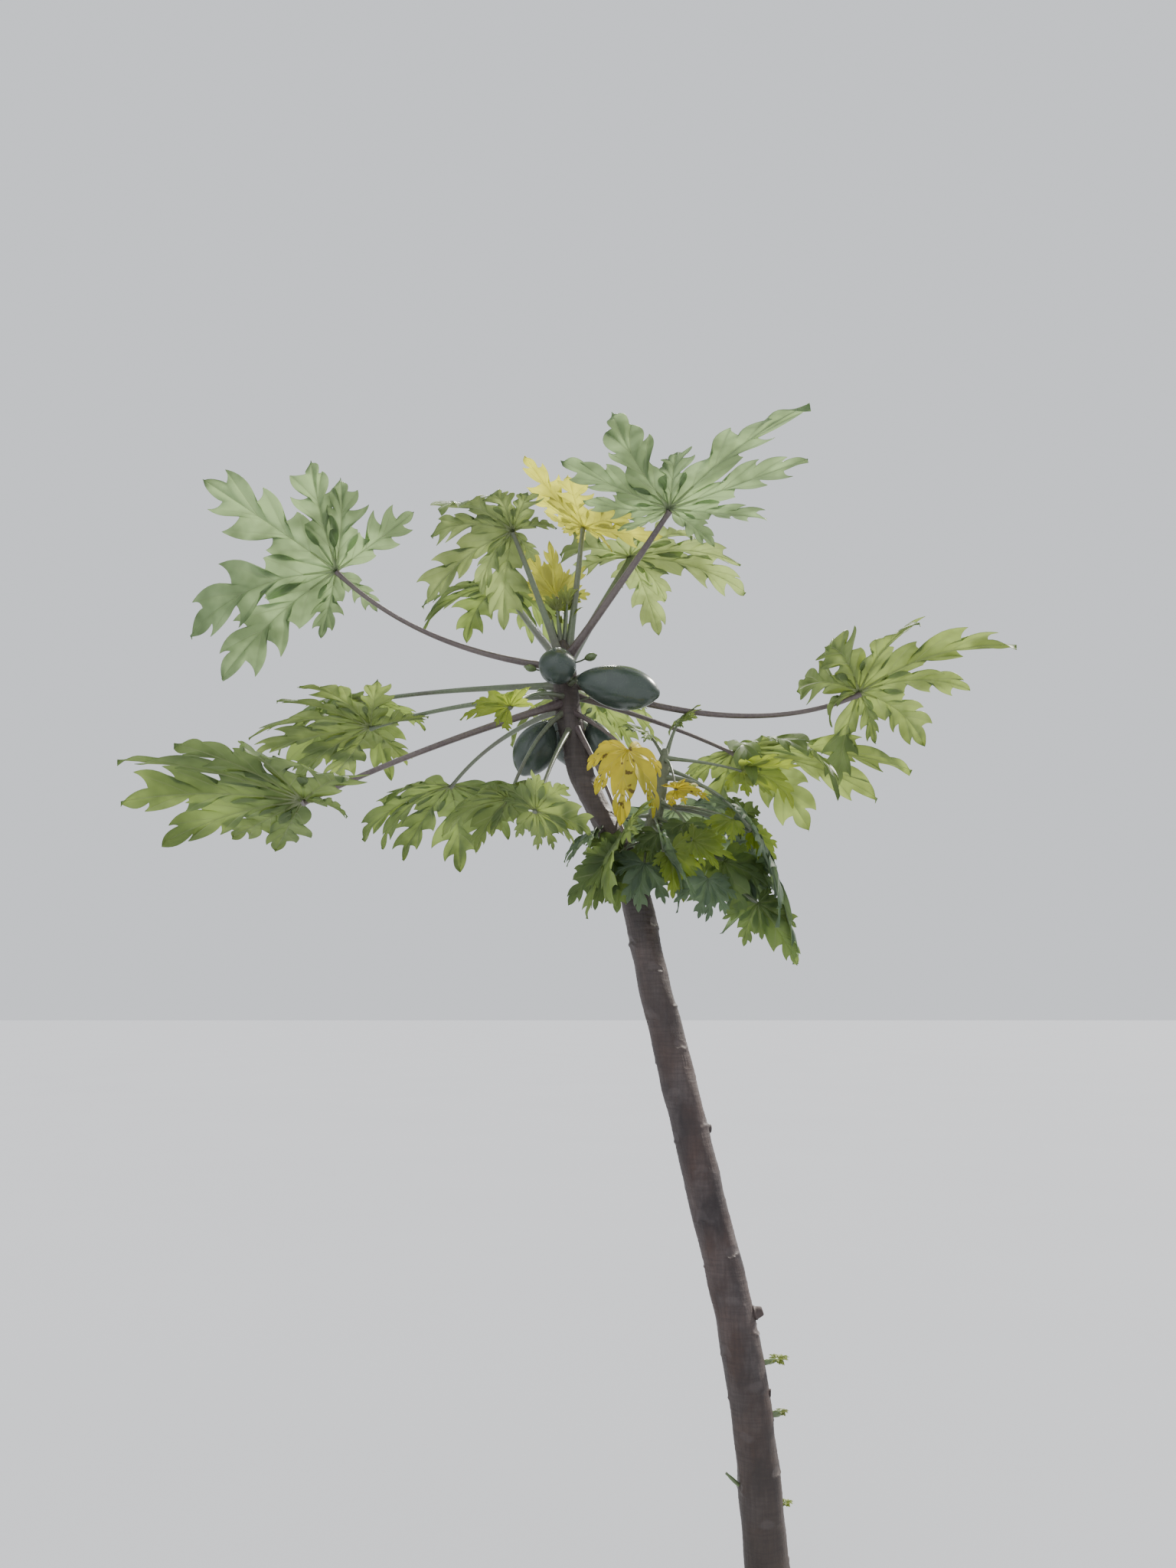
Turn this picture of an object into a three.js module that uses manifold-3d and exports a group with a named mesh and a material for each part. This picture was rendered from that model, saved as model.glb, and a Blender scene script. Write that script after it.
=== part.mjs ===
// A young fruiting papaya tree, rooted in the ground, as an assembly of separate solids.
// Millimetres, +Z up. The origin is the middle of the flat cut under the trunk, at ground level.
// +X is to the right and +Y away, as the tree is seen from its open side.
// The trunk leans and carries a crown of long-stalked, deeply lobed leaves; a shorter side shoot
// below the crown carries a second, lower crown. The fruits hang straight from the trunk.
import * as THREE from "three";
import { mergeVertices } from "three/addons/utils/BufferGeometryUtils.js";
import Module from "manifold-3d";

const wasm = await Module();
wasm.setup();

// Clearance between two solids that meet.
const GAP = 0.3;

// Trunk: the axis as height and sideways lean, with the radius there. The first row is the ground cut.
const TRUNK_AXIS = [
  { z: 0, x: 0, y: 0, r: 78 },
  { z: 45, x: -1, y: 0, r: 67 },
  { z: 150, x: -7, y: 1, r: 60.5 },
  { z: 360, x: -22, y: 4, r: 58 },
  { z: 700, x: -70, y: 8, r: 56 },
  { z: 1050, x: -150, y: 8, r: 55 },
  { z: 1400, x: -233, y: 4, r: 52 },
  { z: 1700, x: -304, y: 0, r: 48 },
  { z: 1900, x: -345, y: -2, r: 46 },
  { z: 2010, x: -380, y: -4, r: 44 },
  { z: 2100, x: -428, y: -5, r: 41 },
  { z: 2180, x: -470, y: -5, r: 39.5 },
  { z: 2285, x: -512, y: -4, r: 39 },
  { z: 2400, x: -534, y: -2, r: 40 },
  { z: 2520, x: -548, y: 0, r: 39 },
  { z: 2600, x: -555, y: 0, r: 34 },
  { z: 2650, x: -559, y: 0, r: 25 },
  { z: 2676, x: -561, y: 0, r: 12 },
];
const TRUNK_SIDES = 12;
const TRUNK_STEPS = 25;
const FLARE_RIDGES = 5;
const FLARE_DEPTH = 0.16;
const FLARE_HEIGHT = 150;

// Stubs low on the trunk, left by lost leaves and starting buds. height and az: where one starts.
// reach: how far its tip stands off the bark. rise: how far the tip is above the foot. r: at the foot.
const TRUNK_STUBS = [
  { height: 722, az: 352, reach: 27, rise: 10, r: 15 },
  { height: 592, az: 4, reach: 50, rise: 10, r: 8 },
  { height: 527, az: 350, reach: 10, rise: -6, r: 13 },
  { height: 462, az: 0, reach: 32, rise: 6, r: 14 },
  { height: 270, az: 186, reach: 38, rise: 55, r: 8 },
  { height: 1225, az: 8, reach: 10, rise: -8, r: 15 },
];
const STUB_TIP = 0.45;

// Side shoot: a shorter second stem that leaves the trunk below the crown and turns upright.
const SHOOT_AXIS = [
  { z: 1905, x: -345, y: -8, r: 27 },
  { z: 1985, x: -318, y: -26, r: 25 },
  { z: 2090, x: -290, y: -34, r: 23 },
  { z: 2200, x: -268, y: -36, r: 21 },
  { z: 2290, x: -254, y: -36, r: 17 },
  { z: 2325, x: -250, y: -36, r: 8 },
];
const SHOOT_SIDES = 8;
const SHOOT_STEPS = 8;

// A leaf's row of measures.
// Of the stalk: height of its foot on the stem, compass angle (0 along +X, 90 along +Y), how far out
// and how far up from the foot the blade's hub is, and how far the stalk's middle hangs below (-) or
// arches above (+) a straight line.
// Of the blade: length of the middle lobe, the compass angle that it points to, its angle above
// level, the turn of the blade about it, and the degrees that a lobe bends down in all.
// Then the seed of the leaf's own irregularity. small: two lobes fewer. yellow: an old leaf.
function leaf([foot, az, reach, rise, bow], [size, heading, pitch, roll, droop], seed, special = {}) {
  return { foot, az, reach, rise, bow, size, heading, pitch, roll, droop, seed, ...special };
}
const CROWN_LEAVES = [
  leaf([2590, 185, 705, 290, -70], [425, 198, -1, 39, 19], 1783),
  leaf([2628, 225, 215, 345, 5], [410, 194, 4, 18, 42], 3327),
  leaf([2646, 12, 65, 410, 0], [310, 228, 30, -16, 8], 5758, { yellow: true }),
  leaf([2642, 95, 70, 185, 0], [135, 16, 75, -36, 13], 583, { small: true, yellow: true }),
  leaf([2622, 317, 425, 360, -8], [475, 275, 14, 8, 8], 3168),
  leaf([2606, 57, 395, 475, 0], [435, 335, 10, -11, 40], 4913),
  leaf([2505, 164, 660, -60, 18], [430, 201, 6, 15, 14], 798),
  leaf([2470, 218, 850, -390, 15], [485, 205, 17, 12, 21], 1084),
  leaf([2490, 244, 355, -110, 25], [150, 231, 17, 34, 52], 2038, { small: true }),
  leaf([2440, 229, 260, -300, 45], [200, 212, 8, 25, 28], 2156),
  leaf([2385, 254, 340, -300, 25], [170, 331, -3, -51, 29], 4833),
  leaf([2540, 359, 895, -35, -85], [475, 345, 36, -23, 42], 4429),
  leaf([2500, 20, 565, -135, 10], [450, 28, 3, -11, 38], 859),
  leaf([2440, 303, 320, -170, 10], [195, 290, -66, 0, 60], 1688, { yellow: true }),
  leaf([2395, 303, 270, -355, 25], [240, 222, -52, 30, 20], 455),
  leaf([2612, 118, 470, 400, -10], [400, 118, 5, 0, 45], 11, { small: true }),
  leaf([2570, 84, 640, 120, -20], [400, 84, -5, 0, 45], 12, { small: true }),
  leaf([2535, 150, 800, 60, 10], [420, 150, -8, 0, 40], 13, { small: true }),
  leaf([2462, 136, 560, -170, 40], [380, 125, -20, 0, 40], 14, { small: true }),
  leaf([2430, 52, 580, -200, 35], [330, 62, -20, 0, 40], 15, { small: true }),
];
const SHOOT_LEAVES = [
  leaf([2295, 354, 230, -40, 5], [130, 21, -5, -18, 29], 1720, { small: true }),
  leaf([2285, 287, 95, -100, 30], [100, 345, 5, -17, 17], 3171, { small: true, yellow: true }),
  leaf([2235, 336, 280, -175, 45], [380, 30, -58, 10, 44], 1478),
  leaf([2085, 277, 190, -95, 15], [165, 320, -50, -43, 8], 1298, { small: true }),
  leaf([2262, 4, 220, -140, 25], [105, 326, -10, -53, 28], 5658, { small: true }),
  leaf([2200, 95, 260, -60, 30], [250, 95, -25, 0, 40], 16, { small: true }),
];

// One leaf blade, flat, in shares of the middle lobe's length. Lobes fan out from the hub.
const LOBE_ANGLES = [-143, -104, -70, -35, 0, 35, 70, 104, 143];
const LOBE_LENGTHS = [0.55, 0.72, 0.86, 0.96, 1, 0.96, 0.86, 0.72, 0.55];
const LOBE_SWING = 12;
const LOBE_STRETCH = 0.2;
const SINUS = 0.24;
const BASE_SINUS = 0.14;
const BASE_SPREAD = 22;
// One side of a lobe, as share along the lobe and share across: first lobule, notch, last lobule.
const LOBE_SIDE = [
  [0.6, 0.175],
  [0.66, 0.065],
  [0.86, 0.115],
];
const RIB_AT = [0.36, 0.64];
const LOBE_FOLD = 0.3;
const BLADE_THICKNESS = 0.018;
const IRREGULAR = 0.14;

// Leaf stalks: radius at the foot and at the blade, for a stalk of the reference length.
const STALK_FOOT_R = 12.5;
const STALK_TIP_R = 6;
const STALK_REFERENCE = 700;
// Where along its length a stalk bends most.
const STALK_BEND_AT = 0.62;
// How far out in the stem a stalk starts, as a share of the stem's radius.
const FOOT_SUNK = 0.7;
const STALK_SIDES = 6;
const STALK_STEPS = 5;
// The blade's own stub of stalk, and how deep it is sunk in the blade.
const STUB_LENGTH = 14;
const STUB_SUNK = 7;
// How far the base of a blade keeps off its own stalk.
const STALK_CLEAR = 2;

// Fruits. foot: height of the stalk on the trunk. at: middle of the fruit. axis: way its tip points.
const FRUITS = [
  { name: "large", foot: 2520, at: [-395, -105, 2500], axis: [1, -0.1, -0.22], length: 250, width: 132 },
  { name: "left", foot: 2430, at: [-640, -8, 2335], axis: [-0.45, -0.05, -0.9], length: 185, width: 126 },
  { name: "small", foot: 2610, at: [-575, -105, 2580], axis: [-0.1, -0.4, -0.9], length: 130, width: 112 },
  { name: "right", foot: 2440, at: [-450, 20, 2350], axis: [0.25, 0.1, -0.95], length: 150, width: 104 },
  { name: "back", foot: 2500, at: [-548, 116, 2400], axis: [0.05, 0.3, -0.95], length: 180, width: 112 },
];
const FRUIT_SIDES = 10;
const FRUIT_RINGS = 7;
const FRUIT_STALK_R = 9;

// Crown heart: folded young leaves that stand up from the trunk's tip. az and lean in degrees.
const HEART_SPEARS = [
  { az: 262, lean: 9, length: 190 },
  { az: 300, lean: 2, length: 240 },
  { az: 75, lean: 12, length: 160 },
];
const HEART_R = 6.5;
const HEART_BASE_R = 10;

// Finishes.
const BARK = new THREE.MeshStandardMaterial({ color: 0x8a7f70, roughness: 0.85, metalness: 0 });
const SHOOT_BARK = new THREE.MeshStandardMaterial({ color: 0x7d8264, roughness: 0.75, metalness: 0 });
const STALK_GREEN = new THREE.MeshStandardMaterial({ color: 0x8fa06a, roughness: 0.5, metalness: 0 });
const LEAF_GREEN = new THREE.MeshStandardMaterial({ color: 0x5f8a2c, roughness: 0.5, metalness: 0 });
const LEAF_YOUNG = new THREE.MeshStandardMaterial({ color: 0x9aa33c, roughness: 0.5, metalness: 0 });
const LEAF_YELLOW = new THREE.MeshStandardMaterial({ color: 0xc9a92a, roughness: 0.55, metalness: 0 });
const FRUIT_GREEN = new THREE.MeshStandardMaterial({ color: 0x3c5a34, roughness: 0.4, metalness: 0 });

const DOWN = new THREE.Vector3(0, 0, -1);
const rad = THREE.MathUtils.degToRad;

// A repeatable series of numbers from -1 to 1.
function series(seed) {
  let state = (seed * 2654435761) >>> 0;
  return () => {
    state = (Math.imul(state, 1664525) + 1013904223) >>> 0;
    return state / 2147483648 - 1;
  };
}

// A closed geometry from points and triangles that index them.
function geometryOf(points, triangles) {
  const geometry = new THREE.BufferGeometry();
  const numbers = points.flatMap((p) => p.toArray());
  geometry.setAttribute("position", new THREE.Float32BufferAttribute(numbers, 3));
  geometry.setIndex(triangles);
  return geometry;
}

function solidOf(geometry) {
  const bare = geometry.clone();
  bare.deleteAttribute("normal");
  bare.deleteAttribute("uv");
  const merged = mergeVertices(bare, 1e-3);
  const vertProperties = merged.attributes.position.array;
  const triVerts = new Uint32Array(merged.index.array);
  return new wasm.Manifold(new wasm.Mesh({ numProp: 3, vertProperties, triVerts }));
}

function geometryFrom(solid) {
  const { numProp, vertProperties, triVerts } = solid.getMesh();
  const points = [];
  for (let i = 0; i < vertProperties.length; i += numProp) {
    points.push(new THREE.Vector3(vertProperties[i], vertProperties[i + 1], vertProperties[i + 2]));
  }
  return geometryOf(points, Array.from(triVerts));
}

// Skins rings of equal count, with a middle point to close each end.
function skinRings(rings) {
  const sides = rings[0].length;
  const points = rings.flat();
  const triangles = [];
  for (let i = 0; i + 1 < rings.length; i++) {
    for (let j = 0; j < sides; j++) {
      const [a, b] = [i * sides + j, i * sides + ((j + 1) % sides)];
      const [c, d] = [a + sides, b + sides];
      triangles.push(a, b, d, a, d, c);
    }
  }
  const middle = (ring) => {
    const sum = ring.reduce((total, p) => total.add(p), new THREE.Vector3());
    return sum.divideScalar(sides);
  };
  const last = (rings.length - 1) * sides;
  const [foot, tip] = [points.length, points.length + 1];
  points.push(middle(rings[0]), middle(rings.at(-1)));
  for (let j = 0; j < sides; j++) {
    const next = (j + 1) % sides;
    triangles.push(foot, next, j, tip, last + j, last + next);
  }
  return geometryOf(points, triangles);
}

// Rings across a curve up to a share of its length. radiusAt gives the radius at a share of the
// whole length and an angle. With levelFoot the first ring is level, as a stem cut at the ground.
function ringsAlong(curve, radiusAt, sides, steps, { to = 1, levelFoot = false } = {}) {
  const rings = [];
  const side = new THREE.Vector3(1, 0, 0);
  for (let i = 0; i <= steps; i++) {
    const share = (to * i) / steps;
    const along = curve.getTangentAt(share);
    if (levelFoot && i === 0) along.set(0, 0, 1);
    side.addScaledVector(along, -side.dot(along)).normalize();
    const across = new THREE.Vector3().crossVectors(along, side);
    const centre = curve.getPointAt(share);
    rings.push(
      Array.from({ length: sides }, (_, j) => {
        const angle = (2 * Math.PI * j) / sides;
        const r = radiusAt(share, angle);
        return centre
          .clone()
          .addScaledVector(side, r * Math.cos(angle))
          .addScaledVector(across, r * Math.sin(angle));
      }),
    );
  }
  return rings;
}

// A stem given by rows of axis points: its curve, and its radius and middle at a height.
function stemOf(axis) {
  const curve = new THREE.CatmullRomCurve3(axis.map(({ x, y, z }) => new THREE.Vector3(x, y, z)));
  const at = (z) => {
    const i = Math.max(1, axis.findIndex((row) => row.z >= z));
    const [low, high] = [axis[i - 1], axis[i]];
    const share = (z - low.z) / (high.z - low.z);
    const mix = (key) => THREE.MathUtils.lerp(low[key], high[key], share);
    return { middle: new THREE.Vector3(mix("x"), mix("y"), z), r: mix("r") };
  };
  return { curve, at };
}

const trunkStem = stemOf(TRUNK_AXIS);
const shootStem = stemOf(SHOOT_AXIS);

// The trunk, grown all over by extra so that what meets it can be cut clear.
function trunkGeometry(extra) {
  const radiusAt = (share, angle) => {
    const z = trunkStem.curve.getPointAt(share).z;
    const flare = FLARE_DEPTH * Math.max(0, 1 - z / FLARE_HEIGHT) ** 2;
    return trunkStem.at(z).r * (1 + flare * Math.cos(FLARE_RIDGES * angle)) + extra;
  };
  const rings = ringsAlong(trunkStem.curve, radiusAt, TRUNK_SIDES, TRUNK_STEPS, { levelFoot: true });
  return skinRings(rings);
}

function shootGeometry(extra) {
  const radiusAt = (share) => shootStem.at(shootStem.curve.getPointAt(share).z).r + extra;
  return skinRings(ringsAlong(shootStem.curve, radiusAt, SHOOT_SIDES, SHOOT_STEPS));
}

// The trunk with its stubs, each a short cone that starts on the trunk's axis.
function trunkSolid() {
  return TRUNK_STUBS.reduce((body, { height, az, reach, rise, r }) => {
    const { middle, r: trunkR } = trunkStem.at(height);
    const tip = middle.clone();
    tip.x += (trunkR + reach) * Math.cos(rad(az));
    tip.y += (trunkR + reach) * Math.sin(rad(az));
    tip.z += rise;
    const radiusAt = (s) => r * (1 - (1 - STUB_TIP) * s * s);
    const rings = ringsAlong(new THREE.LineCurve3(middle, tip), radiusAt, STALK_SIDES, 2);
    return body.add(solidOf(skinRings(rings)));
  }, solidOf(trunkGeometry(0)));
}

const trunkClear = solidOf(trunkGeometry(GAP));
const shootClear = solidOf(shootGeometry(GAP));

// The place of a leaf: where its stalk starts on the stem, where its hub is, and its blade's axes.
function placeLeaf(leaf, stem) {
  const { middle, r: stemR } = stem.at(leaf.foot);
  const out = new THREE.Vector3(Math.cos(rad(leaf.az)), Math.sin(rad(leaf.az)), 0);
  const foot = middle.clone().addScaledVector(out, FOOT_SUNK * stemR);
  const hub = middle.clone().addScaledVector(out, leaf.reach);
  hub.z += leaf.rise;
  const control = foot.clone().lerp(hub, STALK_BEND_AT);
  control.z += 2 * leaf.bow;
  const stalk = new THREE.QuadraticBezierCurve3(foot, control, hub);
  const [h, p, r] = [rad(leaf.heading), rad(leaf.pitch), rad(leaf.roll)];
  const ahead = new THREE.Vector3(Math.cos(p) * Math.cos(h), Math.cos(p) * Math.sin(h), Math.sin(p));
  const level = new THREE.Vector3(-Math.sin(h), Math.cos(h), 0);
  const up = new THREE.Vector3().crossVectors(ahead, level);
  const left = level.clone().multiplyScalar(Math.cos(r)).addScaledVector(up, Math.sin(r));
  const normal = new THREE.Vector3().crossVectors(ahead, left);
  return { ...leaf, hub, stalk, ahead, left, normal };
}

// A lobe that starts at an angle in the blade and bends towards the ground along its length.
// The result gives the point at a share along it and a share across it, and the face normal there.
function lobeOf(place, angle, length) {
  const a = rad(angle);
  const along = place.ahead.clone().multiplyScalar(Math.cos(a)).addScaledVector(place.left, Math.sin(a));
  const towards = DOWN.clone().addScaledVector(along, -DOWN.dot(along));
  const bend = Math.max(0.02, Math.min(rad(place.droop), 0.85 * along.angleTo(DOWN)));
  towards.normalize();
  const hinge = new THREE.Vector3().crossVectors(along, towards);
  const across = new THREE.Vector3().crossVectors(place.normal, along);
  return (s, t) => {
    const turn = bend * s;
    const point = along
      .clone()
      .multiplyScalar((length * Math.sin(turn)) / bend)
      .addScaledVector(towards, (length * (1 - Math.cos(turn))) / bend);
    const normal = place.normal.clone().applyAxisAngle(hinge, turn);
    point.addScaledVector(across.clone().applyAxisAngle(hinge, turn), length * t);
    point.addScaledVector(normal, length * Math.abs(t) * LOBE_FOLD);
    return { point, normal };
  };
}

// The blade as a closed plate. Each lobe is two strips of triangles from its rib to its two edges.
function plateGeometry(place) {
  const vary = series(place.seed);
  const spots = [];
  const faces = [];
  const add = (spot) => spots.push(spot) - 1;
  const all = LOBE_ANGLES.map((angle, i) => ({
    angle: angle + LOBE_SWING * vary(),
    length: place.size * LOBE_LENGTHS[i] * (1 + LOBE_STRETCH * vary()),
  }));
  const lobes = place.small ? all.slice(1, -1) : all;
  const hub = add({ point: new THREE.Vector3(), normal: place.normal });
  const sinusAt = (angle, length, share) => add(lobeOf(place, angle, length)(share, 0));
  const sinuses = lobes.slice(1).map((lobe, i) => {
    const before = lobes[i];
    return sinusAt((lobe.angle + before.angle) / 2, Math.min(lobe.length, before.length), SINUS);
  });
  sinuses.unshift(sinusAt(lobes[0].angle - BASE_SPREAD, lobes[0].length, BASE_SINUS));
  sinuses.push(sinusAt(lobes.at(-1).angle + BASE_SPREAD, lobes.at(-1).length, BASE_SINUS));
  const outline = [hub];
  lobes.forEach(({ angle, length }, i) => {
    const at = lobeOf(place, angle, length);
    const ribs = RIB_AT.map((s) => add(at(s, 0)));
    const tip = add(at(1, 0));
    const edges = [-1, 1].map((hand) =>
      LOBE_SIDE.map(([s, t]) => add(at(s + 0.03 * vary(), hand * t * (1 + IRREGULAR * vary())))),
    );
    edges.forEach(([lobule, notch, last], side) => {
      const sinus = sinuses[i + side];
      const strip = [
        [hub, ribs[0], sinus],
        [ribs[0], lobule, sinus],
        [ribs[0], notch, lobule],
        [ribs[0], ribs[1], notch],
        [ribs[1], last, notch],
        [ribs[1], tip, last],
      ];
      strip.forEach(([a, b, c]) => faces.push(side ? [a, b, c] : [a, c, b]));
    });
    outline.push(sinuses[i], ...edges[0], tip, ...edges[1].toReversed());
  });
  outline.push(sinuses.at(-1));
  const half = (place.size * BLADE_THICKNESS) / 2;
  const points = [half, -half].flatMap((lift) =>
    spots.map(({ point, normal }) => point.clone().addScaledVector(normal, lift)),
  );
  const under = spots.length;
  const triangles = faces.flatMap(([a, b, c]) => [a, b, c, under + a, under + c, under + b]);
  outline.forEach((a, i) => {
    const b = outline[(i + 1) % outline.length];
    triangles.push(a, under + a, under + b, a, under + b, b);
  });
  return geometryOf(points, triangles);
}

// The stalk's radius at a share of its length.
function stalkRadius(place) {
  const share = Math.sqrt(Math.min(1.2, place.stalk.getLength() / STALK_REFERENCE));
  return (s) => share * THREE.MathUtils.lerp(STALK_FOOT_R, STALK_TIP_R, Math.min(1, 1.6 * s) ** 0.6);
}

// A mesh whose geometry is moved to stand at its own origin.
function meshAt(name, geometry, material, place) {
  geometry.translate(-place.x, -place.y, -place.z);
  const mesh = new THREE.Mesh(geometry, material);
  mesh.name = name;
  mesh.position.copy(place);
  return mesh;
}

// The largest body of a solid that a cut may have left in pieces.
function largest(solid) {
  return solid.decompose().sort((a, b) => b.volume() - a.volume())[0];
}

// The stalk up to the blade's stub, grown all over by extra.
function stalkSolid(place, extra) {
  const to = 1 - (STUB_LENGTH + GAP) / place.stalk.getLength();
  const radius = stalkRadius(place);
  const rings = ringsAlong(place.stalk, (s) => radius(s) + extra, STALK_SIDES, STALK_STEPS, { to });
  return solidOf(skinRings(rings));
}

function makeStalk(name, place, clearOf) {
  const body = largest(stalkSolid(place, 0).subtract(clearOf));
  return meshAt(name, geometryFrom(body), STALK_GREEN, place.stalk.v0);
}

function makeBlade(name, place, material) {
  const start = 1 - STUB_LENGTH / place.stalk.getLength();
  const tipR = stalkRadius(place)(1);
  const foot = place.stalk.getPointAt(start);
  const level = place.stalk.getTangentAt(start);
  const bend = foot.clone().addScaledVector(level, STUB_LENGTH / 2);
  const into = place.hub.clone().addScaledVector(place.ahead, STUB_SUNK);
  const stubCurve = new THREE.QuadraticBezierCurve3(foot, bend, into);
  const stub = solidOf(skinRings(ringsAlong(stubCurve, () => tipR, STALK_SIDES, 1)));
  const plate = solidOf(plateGeometry(place).translate(...place.hub.toArray()));
  const clear = stalkSolid(place, STALK_CLEAR);
  const free = plate.intersect(clear).isEmpty() ? plate : plate.subtract(clear);
  const body = free.add(stub);
  return meshAt(name, geometryFrom(largest(body)), material, place.hub);
}

// A fruit: a ribbed pear shape about its axis, with its short stalk fused on, cut clear of the trunk.
function makeFruit({ name, foot, at, axis, length, width }) {
  const tip = new THREE.Vector3(...axis).normalize();
  const centre = new THREE.Vector3(...at);
  const top = centre.clone().addScaledVector(tip, -length / 2);
  const bottom = centre.clone().addScaledVector(tip, length / 2);
  const spine = new THREE.LineCurve3(top, bottom);
  const radiusAt = (share, angle) => {
    const belly = Math.sin(Math.PI * Math.min(1, share * 0.94 + 0.03) ** 0.85) ** 0.62;
    return (width / 2) * belly * (1 + 0.03 * Math.cos(FRUIT_SIDES * 0.5 * angle));
  };
  const flesh = solidOf(skinRings(ringsAlong(spine, radiusAt, FRUIT_SIDES, FRUIT_RINGS)));
  const start = trunkStem.at(foot).middle;
  const sunk = centre.clone().addScaledVector(tip, -length / 3);
  const crest = start.clone().lerp(top, 0.7);
  crest.z += 12;
  const neck = new THREE.QuadraticBezierCurve3(start, crest, sunk);
  const stalk = solidOf(skinRings(ringsAlong(neck, () => FRUIT_STALK_R, STALK_SIDES, 4)));
  const body = flesh.add(stalk).subtract(trunkClear);
  return meshAt(`fruit_${name}`, geometryFrom(largest(body)), FRUIT_GREEN, centre);
}

// The folded young leaves, spindles that rise together out of a low cushion on the trunk's tip.
function makeHeart() {
  const foot = trunkStem.curve.getPointAt(1);
  const under = foot.clone().setZ(foot.z - 30);
  const over = foot.clone().setZ(foot.z + 26);
  const cushion = new THREE.LineCurve3(under, over);
  let body = solidOf(skinRings(ringsAlong(cushion, (s) => HEART_BASE_R * (1 - 0.4 * s * s), 8, 1)));
  HEART_SPEARS.forEach(({ az, lean, length }) => {
    const out = new THREE.Vector3(Math.cos(rad(az)), Math.sin(rad(az)), 0);
    const tip = foot.clone().addScaledVector(out, length * Math.sin(rad(lean)));
    tip.z += length * Math.cos(rad(lean));
    const knee = foot.clone().addScaledVector(out, HEART_BASE_R * 0.9);
    knee.z += length * 0.4;
    const curve = new THREE.QuadraticBezierCurve3(foot, knee, tip);
    const radiusAt = (s) => HEART_R * (0.35 + 0.65 * Math.sin(Math.PI * Math.min(1, 0.25 + 0.72 * s)));
    body = body.add(solidOf(skinRings(ringsAlong(curve, radiusAt, STALK_SIDES, 4))));
  });
  return meshAt("crown_heart", geometryFrom(largest(body.subtract(trunkClear))), LEAF_YOUNG, foot);
}

const tree = new THREE.Group();

const trunk = new THREE.Mesh(geometryFrom(trunkSolid()), BARK);
trunk.name = "trunk";
tree.add(trunk);

const shoot = new THREE.Mesh(geometryFrom(solidOf(shootGeometry(0)).subtract(trunkClear)), SHOOT_BARK);
shoot.name = "side_shoot";
tree.add(shoot);

function addLeaves(label, leaves, stem, clearOf) {
  const crown = new THREE.Group();
  leaves.forEach((leaf, i) => {
    const number = String(i + 1).padStart(2, "0");
    const place = placeLeaf(leaf, stem);
    crown.add(makeStalk(`${label}_stalk_${number}`, place, clearOf));
    crown.add(makeBlade(`${label}_blade_${number}`, place, leaf.yellow ? LEAF_YELLOW : LEAF_GREEN));
  });
  tree.add(crown);
}
addLeaves("crown", CROWN_LEAVES, trunkStem, trunkClear);
addLeaves("shoot", SHOOT_LEAVES, shootStem, shootClear);

tree.add(makeHeart());
FRUITS.forEach((fruit) => tree.add(makeFruit(fruit)));

export default tree;
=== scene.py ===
"""The looks of a young fruiting papaya tree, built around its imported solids. Metres, +Z up."""

import math

import bpy
import numpy as np
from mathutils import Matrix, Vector, noise


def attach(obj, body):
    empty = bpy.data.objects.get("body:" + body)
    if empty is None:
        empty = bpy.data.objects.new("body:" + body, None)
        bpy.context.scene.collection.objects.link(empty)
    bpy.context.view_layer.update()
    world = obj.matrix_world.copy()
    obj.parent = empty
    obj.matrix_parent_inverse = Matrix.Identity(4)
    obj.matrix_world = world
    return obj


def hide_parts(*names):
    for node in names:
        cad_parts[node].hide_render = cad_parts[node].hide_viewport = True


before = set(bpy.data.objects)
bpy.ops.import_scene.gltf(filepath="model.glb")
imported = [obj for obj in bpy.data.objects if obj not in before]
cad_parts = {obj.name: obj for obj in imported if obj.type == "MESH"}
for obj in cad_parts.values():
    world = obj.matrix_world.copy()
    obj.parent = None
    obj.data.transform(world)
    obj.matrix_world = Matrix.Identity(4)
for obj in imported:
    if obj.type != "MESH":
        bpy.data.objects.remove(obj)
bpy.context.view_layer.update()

MM = 0.001

# Trunk and side shoot: height, sideways lean in X and Y, and radius, in millimetres.
TRUNK_AXIS = [
    (0, 0, 0, 78), (45, -1, 0, 67), (150, -7, 1, 60.5), (360, -22, 4, 58), (700, -70, 8, 56),
    (1050, -150, 8, 55), (1400, -233, 4, 52), (1700, -304, 0, 48), (1900, -345, -2, 46),
    (2010, -380, -4, 44), (2100, -428, -5, 41), (2180, -470, -5, 39.5), (2285, -512, -4, 39),
    (2400, -534, -2, 40), (2520, -548, 0, 39), (2600, -555, 0, 34), (2650, -559, 0, 25),
    (2676, -561, 0, 12),
]
SHOOT_AXIS = [
    (1905, -345, -8, 27), (1985, -318, -26, 25), (2090, -290, -34, 23),
    (2200, -268, -36, 21), (2290, -254, -36, 17), (2325, -250, -36, 8),
]
TRUNK_TIP = np.array([-0.561, 0.0, 2.676])

# Stubs low on the trunk: height, compass angle, reach off the bark, rise and foot radius.
# The first word tells a bare knob or stick from a stub that bears leaves or a bud.
TRUNK_STUBS = [
    ("knob", 720, 352, 23, 12, 21), ("leaves", 592, 4, 44, 8, 8), ("knob", 527, 350, 10, -6, 15),
    ("bud", 462, 0, 30, 6, 12), ("stick", 270, 186, 34, 50, 6), ("knob", 1225, 8, 10, -8, 17),
    ("bud", 236, 4, 10, 4, 7),
]
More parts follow.
